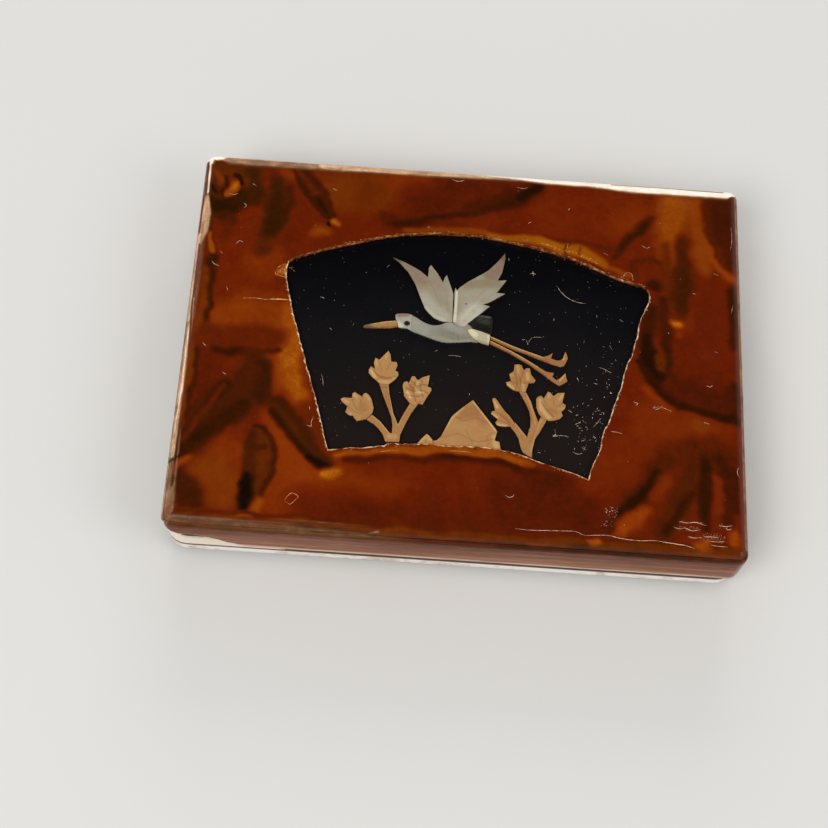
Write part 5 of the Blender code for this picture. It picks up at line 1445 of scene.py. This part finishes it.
# Fine pale scratches, cracks and nicks, drawn as x and y in millimetres, each with its width in hundredths of a
# millimetre. The warm ones are broken shell. The scatter is count, least and most length, and where it lies:
# left, front, right and back.
scratches = {
    "width": 0.01,
    "flatness": 0.22,
    "spacing": 0.12,
    "wander": 0.05,
    "bend": 0.12,
    "scatterWidth": (4, 7),
    "grainWidth": (6, 12),
    "above": 20,  # the lines start that high and are laid down from there
    "wanderScale": 900.0,
    "taper": 0.8,
    "seed": 5,
    "scatter": [
        (90, 0.08, 0.25, (-47, -34, 48, 34)),
        (40, 0.15, 0.6, (10, -20, 29, 10)),
        (14, 0.3, 0.8, (-46, -33, 48, 34)),
        (60, 0.06, 0.24, (38.6, -32.9, 42.4, -32.0)),
        (120, 0.06, 0.24, (42.6, -34.8, 46.6, -33.0)),
        (40, 0.06, 0.24, (45.4, -32.3, 48.0, -31.2)),
        (30, 0.06, 0.22, (38.6, -31.7, 43.4, -31.1)),
        (30, 0.06, 0.22, (40, -34.4, 42.6, -33.7)),
        (54, 0.1, 0.5, (20.5, -18, 25.5, -9.5)),
        (18, 0.1, 0.45, (24, -8, 29, 0)),
        (44, 0.08, 0.35, (25.6, -31.4, 27.9, -29.4)),
        (16, 0.08, 0.35, (24.8, -33.0, 27.2, -31.8)),
    ],
    # grains along a path: count, least and most length, how warm, how far off the path, and the path
    "grains": [
        (130, 0.1, 0.35, 1, 0.22, [
            (-33.9, 13.4), (-33.1, 8.8), (-31.8, 4.3), (-30.4, 0), (-28.4, -6.2), (-26.1, -13), (-24.2, -20),
            (-23.4, -22.2),
        ]),
        (130, 0.1, 0.35, 1, 0.22, [
            (-23, -22.3), (-19.5, -21.8), (-12.6, -20.5), (-4.5, -20.0), (4.5, -19.9), (10.2, -20.8), (17, -22.9),
            (22.7, -24.7),
        ]),
        (60, 0.1, 0.3, 0.3, 0.15, [(22.9, -24), (25.2, -16.8), (27.8, -9), (29.8, -1.5), (32.2, 8), (33.8, 12)]),
        (150, 0.1, 0.35, 1, 0.12, [
            (-33, 15.5), (-25, 19.1), (-15, 22.2), (-5, 23.6), (5, 23.2), (15, 21.2), (25, 17.6), (33, 14.9),
        ]),
        (50, 0.1, 0.5, 1, 0.4, [(8, 23.1), (14, 22.5), (18, 21.4), (24, 19.4)]),
        (60, 0.12, 0.4, 1, 0.5, [(-35.4, 12.4), (-34.2, 13.2), (-33.8, 11.6)]),
        (20, 0.12, 0.4, 1, 0.3, [(-33.6, 14.2), (-32.8, 14.4), (-32.4, 13.2)]),
        (10, 0.15, 0.4, 1, 0.12, [(-41, 6.7), (-33, 7)]),
    ],
    "warm": [
        # the crack left of the window
        (12, [(-41, 6.6), (-38.6, 6.8), (-36.5, 6.7), (-34, 7.0), (-32.5, 6.9)]),
        (18, [(-37.4, 6.6), (-35.6, 6.8), (-34.2, 6.9), (-32.7, 6.9)]),
        # notch at the window's upper left corner
        (12, [(-35.7, 12.8), (-35.4, 12.0), (-34.6, 11.8), (-33.6, 11.5)]),
        (10, [(-35.5, 13.0), (-34.8, 13.9), (-33.6, 14.4)]), (16, [(-34.0, 13.4), (-33.8, 12.6), (-33.6, 11.8)]),
        # below the window's front edge
        (9, [(-14, -22.0), (-12.4, -21.6), (-10.6, -21.4)]), (8, [(-2, -20.9), (0.6, -20.8), (2.2, -21.0)]),
        # a nick at the lower left
        (13, [
            (-29.9, -32.2), (-29.4, -31.4), (-28.7, -30.8), (-27.6, -31.4), (-28.2, -32.2), (-28.9, -32.9),
            (-29.8, -32.4),
        ]),
        # gold flakes above the window
        (10, [(13.2, 22.6), (14.6, 22.3), (16.2, 21.9)]), (10, [(22.0, 19.7), (23.2, 19.4), (24.2, 18.8)]),
        (8, [(18.4, 23.0), (18.2, 22.0), (17.9, 21.0)]),
    ],
    "lines": [
        # a painted highlight along the crease at the front
        (6, [(10.1, -34.6), (13.0, -34.7), (17.2, -34.5), (20.4, -34.4), (21.9, -34.9), (23.1, -35.0)]),
        (8, [(22.4, -35.0), (26.0, -34.7), (27.8, -35.0), (29.2, -35.2), (31.6, -35.3), (34.5, -35.1), (36.6, -35.4)]),
        (9, [(35.8, -35.2), (38.4, -35.5), (39.5, -35.6), (41.3, -36.0)]),
        # lower right
        (8, [(38.6, -31.2), (39.9, -31.4), (41.4, -31.2), (42.3, -31.4), (43.4, -31.7)]),
        (7, [(37.5, -32.4), (38.7, -32.6), (39.6, -32.4), (40.8, -32.8), (42.2, -32.5)]),
        (7, [(40.1, -33.9), (41.3, -34.1), (42.5, -33.9)]), (8, [(42.8, -33.8), (44.0, -33.7), (45.5, -33.75)]),
        (8, [(43.7, -34.5), (45.0, -34.55), (46.4, -34.4)]), (6, [(44.0, -35.2), (44.8, -35.3), (47.0, -35.4)]),
        (8, [(45.5, -31.5), (46.7, -31.6), (47.8, -31.4)]), (7, [(46.7, -31.8), (47.1, -32.2), (47.7, -32.0)]),
        (6, [(34.6, -9.3), (34.2, -9.9), (35.2, -9.6), (36.2, -9.8), (37.5, -10.3)]),
        (5, [(34.4, -10.2), (35.3, -9.9), (35.9, -9.2)]), (5, [(30.6, -8.9), (31.4, -9.2), (31.0, -9.7)]),
        (6, [(26.5, -15.0), (27.6, -15.1), (28.7, -15.3)]), (5, [(43.8, -4.7), (44.6, -4.9), (45.0, -4.4)]),
        (5, [(43.2, -12.0), (44.3, -12.3)]), (6, [(8.2, -28.6), (9.1, -28.9), (9.8, -28.4)]),
        # right edge
        (7, [(49.0, 24.0), (49.3, 26.4), (49.2, 29.0)]), (6, [(49.3, -20.3), (49.0, -21.3), (49.5, -22.3)]),
        (5, [(48.8, 10.4), (49.1, 12.2)]),
        # upper right
        (5, [(32.2, 23.6), (33.2, 23.1), (33.9, 23.6)]), (5, [(25.0, 21.4), (25.9, 21.0)]),
        (6, [(28.6, 16.3), (29.3, 17.5), (30.3, 17.3), (30.6, 15.8)]), (5, [(45.6, 18.7), (46.6, 18.3)]),
        (6, [(-4.1, 35.3), (-2.8, 34.9), (-1.4, 35.3)]), (6, [(8.4, 34.6), (9.6, 34.3), (10.6, 34.7)]),
        (5, [(-21.2, 36.1), (-20.0, 35.7), (-18.6, 35.9)]),
        # upper left
        (6, [(-42.9, 26.9), (-42.3, 26.3), (-42.7, 25.7)]), (5, [(-41.6, 31.2), (-40.8, 30.7)]),
        (6, [(-45.9, 28.7), (-44.8, 28.5), (-44.2, 28.9)]), (6, [(-47.5, 14.0), (-46.9, 13.3), (-46.0, 13.0)]),
        (5, [(-44.2, 8.8), (-43.8, 7.9)]), (5, [(-43.4, 17.9), (-42.8, 18.6), (-42.1, 18.3)]),
        (6, [(-26.4, 31.4), (-25.6, 30.9)]), (5, [(-46.2, 16.2), (-45.6, 15.6)]),
        # lower left
        (5, [(-47.3, -3.0), (-46.6, -3.6)]), (5, [(-26.2, -16.0), (-26.5, -17.2), (-26.5, -18.0), (-27.5, -17.7)]),
        (5, [(-43.2, -8.6), (-42.4, -9.0)]),
        # on the black ground
        (6, [(16.5, 14.3), (17.4, 13.0), (18.5, 12.0), (20.2, 11.2), (22, 11.0)]),
        (5, [(11.4, 16.4), (12.0, 16.6), (12.6, 16.4)]), (5, [(12.0, 17.1), (12.1, 16.0)]),
        (5, [(11.2, 2.6), (11.5, 1.5)]), (4, [(11.5, 1.9), (12.0, 2.9), (13.0, 3.3), (14.1, 3.3)]),
        (6, [(24.5, -2.0), (25.6, -2.3), (26.8, -3.0)]), (5, [(23.6, -5.2), (24.4, -5.5)]),
        (5, [(20.5, -4.3), (20.9, -5.0)]), (6, [(19.0, -10.9), (19.8, -11.4)]),
        (6, [(16.7, -14.8), (16.9, -15.8), (16.4, -16.3), (17.9, -16.0), (19.4, -16.2)]),
        (5, [(20.4, -13.7), (21.2, -13.1)]), (5, [(25.0, -12.0), (24.3, -13.1), (23.5, -14.0)]),
        (5, [(21.6, -18.0), (22.4, -18.5)]), (5, [(22.2, -17.8), (21.9, -18.7)]),
        (5, [(19.9, -19.0), (20.9, -19.4), (21.8, -19.1)]), (4, [(21.4, -16.9), (22.3, -16.5)]),
        (5, [(28.2, 8.2), (28.9, 7.7)]), (5, [(-25.6, -7.0), (-25.2, -8.2), (-25.0, -9.5)]),
        (4, [(-24.9, 2.3), (-24.3, 1.9)]), (4, [(-3.0, -1.7), (-1.6, -1.6), (-0.6, -1.8)]),
        (4, [(26.4, 2.6), (27.0, 1.7)]), (4, [(-27.0, 8.6), (-26.2, 8.3)]),
    ],
}


# a tree that runs thin flat strands along drawn lines, down on the surfaces below them
def scratchTree():
    tree = bpy.data.node_groups.new("scratchStrands", "GeometryNodeTree")
    ends = {}
    kinds = {"Lines": "Geometry", "Plate": "Object", "Ground": "Object"}
    kinds.update({name: "Float" for name in ("Width", "Flatness", "Spacing", "Wander", "Seed")}, Finish="Material")
    for name, kind in kinds.items():
        ends[name] = tree.interface.new_socket(name, in_out="INPUT", socket_type=f"NodeSocket{kind}").identifier
    tree.interface.new_socket("Strands", in_out="OUTPUT", socket_type="NodeSocketGeometry")
    made = Recipe(tree)
    given = made.node("NodeGroupInput")
    curve = made.node("GeometryNodeMeshToCurve", {}, {"Mesh": given})
    curve = made.node("GeometryNodeCurveSplineType", {"spline_type": "CATMULL_ROM"}, {"Curve": curve})
    curve = made.node("GeometryNodeResampleCurve", {"mode": "LENGTH"}, {"Curve": curve, "Length": given.out("Spacing")})
    place = made.node("GeometryNodeInputPosition")
    sockets = {"Vector": place, "W": given.out("Seed"), "Scale": scratches["wanderScale"], "Detail": 2.0}
    jitter = made.node("ShaderNodeTexNoise", {"noise_dimensions": "4D"}, sockets).out("Color")
    offset = (jitter - 0.5) * made.vector(given.out("Wander"), given.out("Wander"), 0.0) * 2.0
    curve = made.node("GeometryNodeSetPosition", {}, {"Geometry": curve, "Offset": offset})
    below = made.node("GeometryNodeJoinGeometry")
    for name in ("Plate", "Ground"):
        shown = made.node("GeometryNodeObjectInfo", {}, {"Object": given.out(name)}, "Geometry")
        tree.links.new(shown.socket, below.socket.node.inputs[0])
    sockets = {"Target Geometry": below, "Source Position": place, "Ray Direction": (0.0, 0.0, -1.0)}
    sockets["Ray Length"] = scratches["above"] * mm
    hit = made.node("GeometryNodeRaycast", {}, sockets, "Hit Position")
    curve = made.node("GeometryNodeSetPosition", {}, {"Geometry": curve, "Position": hit})
    curve = made.node("GeometryNodeSetCurveNormal", {"mode": "Z_UP"}, {"Curve": curve})
    along = made.node("GeometryNodeSplineParameter")
    off = abs(along * 2.0 - 1.0)
    wide = made.node("GeometryNodeInputNamedAttribute", {"data_type": "FLOAT"}, {"Name": "wide"})
    radius = wide * given.out("Width") * (1.0 - off * off * off * scratches["taper"])
    ring = made.node("GeometryNodeCurvePrimitiveCircle", {}, {"Resolution": 6, "Radius": 1.0})
    flat = made.vector(1.0, given.out("Flatness"), 1.0)
    ring = made.node("GeometryNodeTransform", {}, {"Geometry": ring, "Scale": flat})
    sockets = {"Curve": curve, "Profile Curve": ring, "Scale": radius, "Fill Caps": True}
    strand = made.node("GeometryNodeCurveToMesh", {}, sockets)
    strand = made.node("GeometryNodeSetMaterial", {}, {"Geometry": strand, "Material": given.out("Finish")})
    made.node("NodeGroupOutput", {}, {0: made.node("GeometryNodeRealizeInstances", {}, {0: strand})})
    return tree, ends


def bareShell():
    made = Finish("bareShell", IOR=1.5, Specular_IOR_Level=0.2)
    patch = made.noise(made.where, 0.9 * mm, 3.0, 0.6)
    white = made.mix(made.step(patch, 0.35, 0.65), tint(170, 126, 96), tint(250, 232, 208))
    amber = made.mix(made.step(patch, 0.35, 0.65), tint(150, 74, 22), tint(226, 170, 104))
    made.give(Base_Color=made.mix(made.attribute("warm"), white, amber), Roughness=0.5 + patch * 0.2)
    return made.material


def layScratches(plate, ground):
    rng = np.random.RandomState(scratches["seed"])
    lines = [(width, 1.0, path) for width, path in scratches["warm"]]
    lines += [(width, 0.0, path) for width, path in scratches["lines"]]

    def mark(x, y, width, warmth, least, most):
        turn, length = rng.uniform(0, math.pi), rng.uniform(least, most) / 2
        bend = rng.uniform(-scratches["bend"], scratches["bend"])
        cos, sin = math.cos(turn) * length, math.sin(turn) * length
        lines.append((width, warmth, [(x - cos, y - sin), (x - sin * bend, y + cos * bend), (x + cos, y + sin)]))

    for count, least, most, (left, front, right, back) in scratches["scatter"]:
        for _ in range(count):
            x, y = rng.uniform(left, right), rng.uniform(front, back)
            mark(x, y, rng.uniform(*scratches["scatterWidth"]), 0.0, least, most)
    for count, least, most, warmth, apart, path in scratches["grains"]:
        path = np.array(path)
        run = runAlong(path)
        for _ in range(count):
            at = rng.uniform(0, run[-1])
            x, y = (np.interp(at, run, path[:, i]) + rng.normal(0, apart / 2) for i in (0, 1))
            mark(x, y, rng.uniform(*scratches["grainWidth"]), warmth, least, most)
    points, edges, wide, warm = [], [], [], []
    for width, warmth, path in lines:
        edges += [(len(points) + i, len(points) + i + 1) for i in range(len(path) - 1)]
        points += [(x * mm, y * mm, scratches["above"] * mm) for x, y in path]
        wide += [width / 2] * len(path)
        warm += [warmth] * len(path)
    wires = bpy.data.meshes.new("scratchLines")
    wires.from_pydata(points, edges, [])
    piece = bpy.data.objects.new("fineScratches", wires)
    storeValues(piece, wide=wide, warm=warm)
    bpy.context.scene.collection.objects.link(piece)
    tree, ends = scratchTree()
    layer = piece.modifiers.new("strands", "NODES")
    layer.node_group = tree
    values = {
        "Plate": plate,
        "Ground": ground,
        "Width": scratches["width"] * mm,
        "Flatness": scratches["flatness"],
        "Spacing": scratches["spacing"] * mm,
        "Wander": scratches["wander"] * mm,
        "Seed": float(scratches["seed"]),
        "Finish": bareShell(),
    }
    for name, value in values.items():
        layer[ends[name]] = value
    seen = bpy.context.evaluated_depsgraph_get()
    laid = bpy.data.meshes.new_from_object(piece.evaluated_get(seen), preserve_all_data_layers=True, depsgraph=seen)
    piece.modifiers.remove(layer)
    piece.data = laid
    laid.shade_smooth()
    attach(piece, "lid")
    return piece


print("scratches")
layScratches(topPlate, lidBody)


brassLooks = {"bright": (206, 168, 96), "stained": (132, 94, 48), "stainSize": 2.5, "roughness": 0.3}


def agedBrass():
    looks = brassLooks
    made = Finish("agedBrass", Metallic=1.0)
    stain = made.noise(made.where, looks["stainSize"] * mm, 4.0, 0.6)
    fine = made.noise(made.where, 0.25 * mm, 2.0)
    made.give(Base_Color=made.mix(made.step(stain, 0.35, 0.7), tint(*looks["bright"]), tint(*looks["stained"])))
    made.give(Roughness=looks["roughness"] + stain * 0.18)
    made.relief(fine * (0.003 * mm))
    return made.material


print("hinges")
brass = agedBrass()
for side in ("left", "right"):
    smoothCopy(f"{side}_hinge_base_leaf", f"{side}HingeBaseLeaf", brass, "base")
    smoothCopy(f"{side}_hinge_lid_leaf", f"{side}HingeLidLeaf", brass, "lid")
    smoothCopy(f"{side}_hinge_pin", f"{side}HingePin", brass, "base")
    for body in ("base", "lid"):
        for end in ("inner", "outer"):
            smoothCopy(f"{body}_{side}_{end}_nail", f"{body}{side.title()}{end.title()}Nail", brass, body)
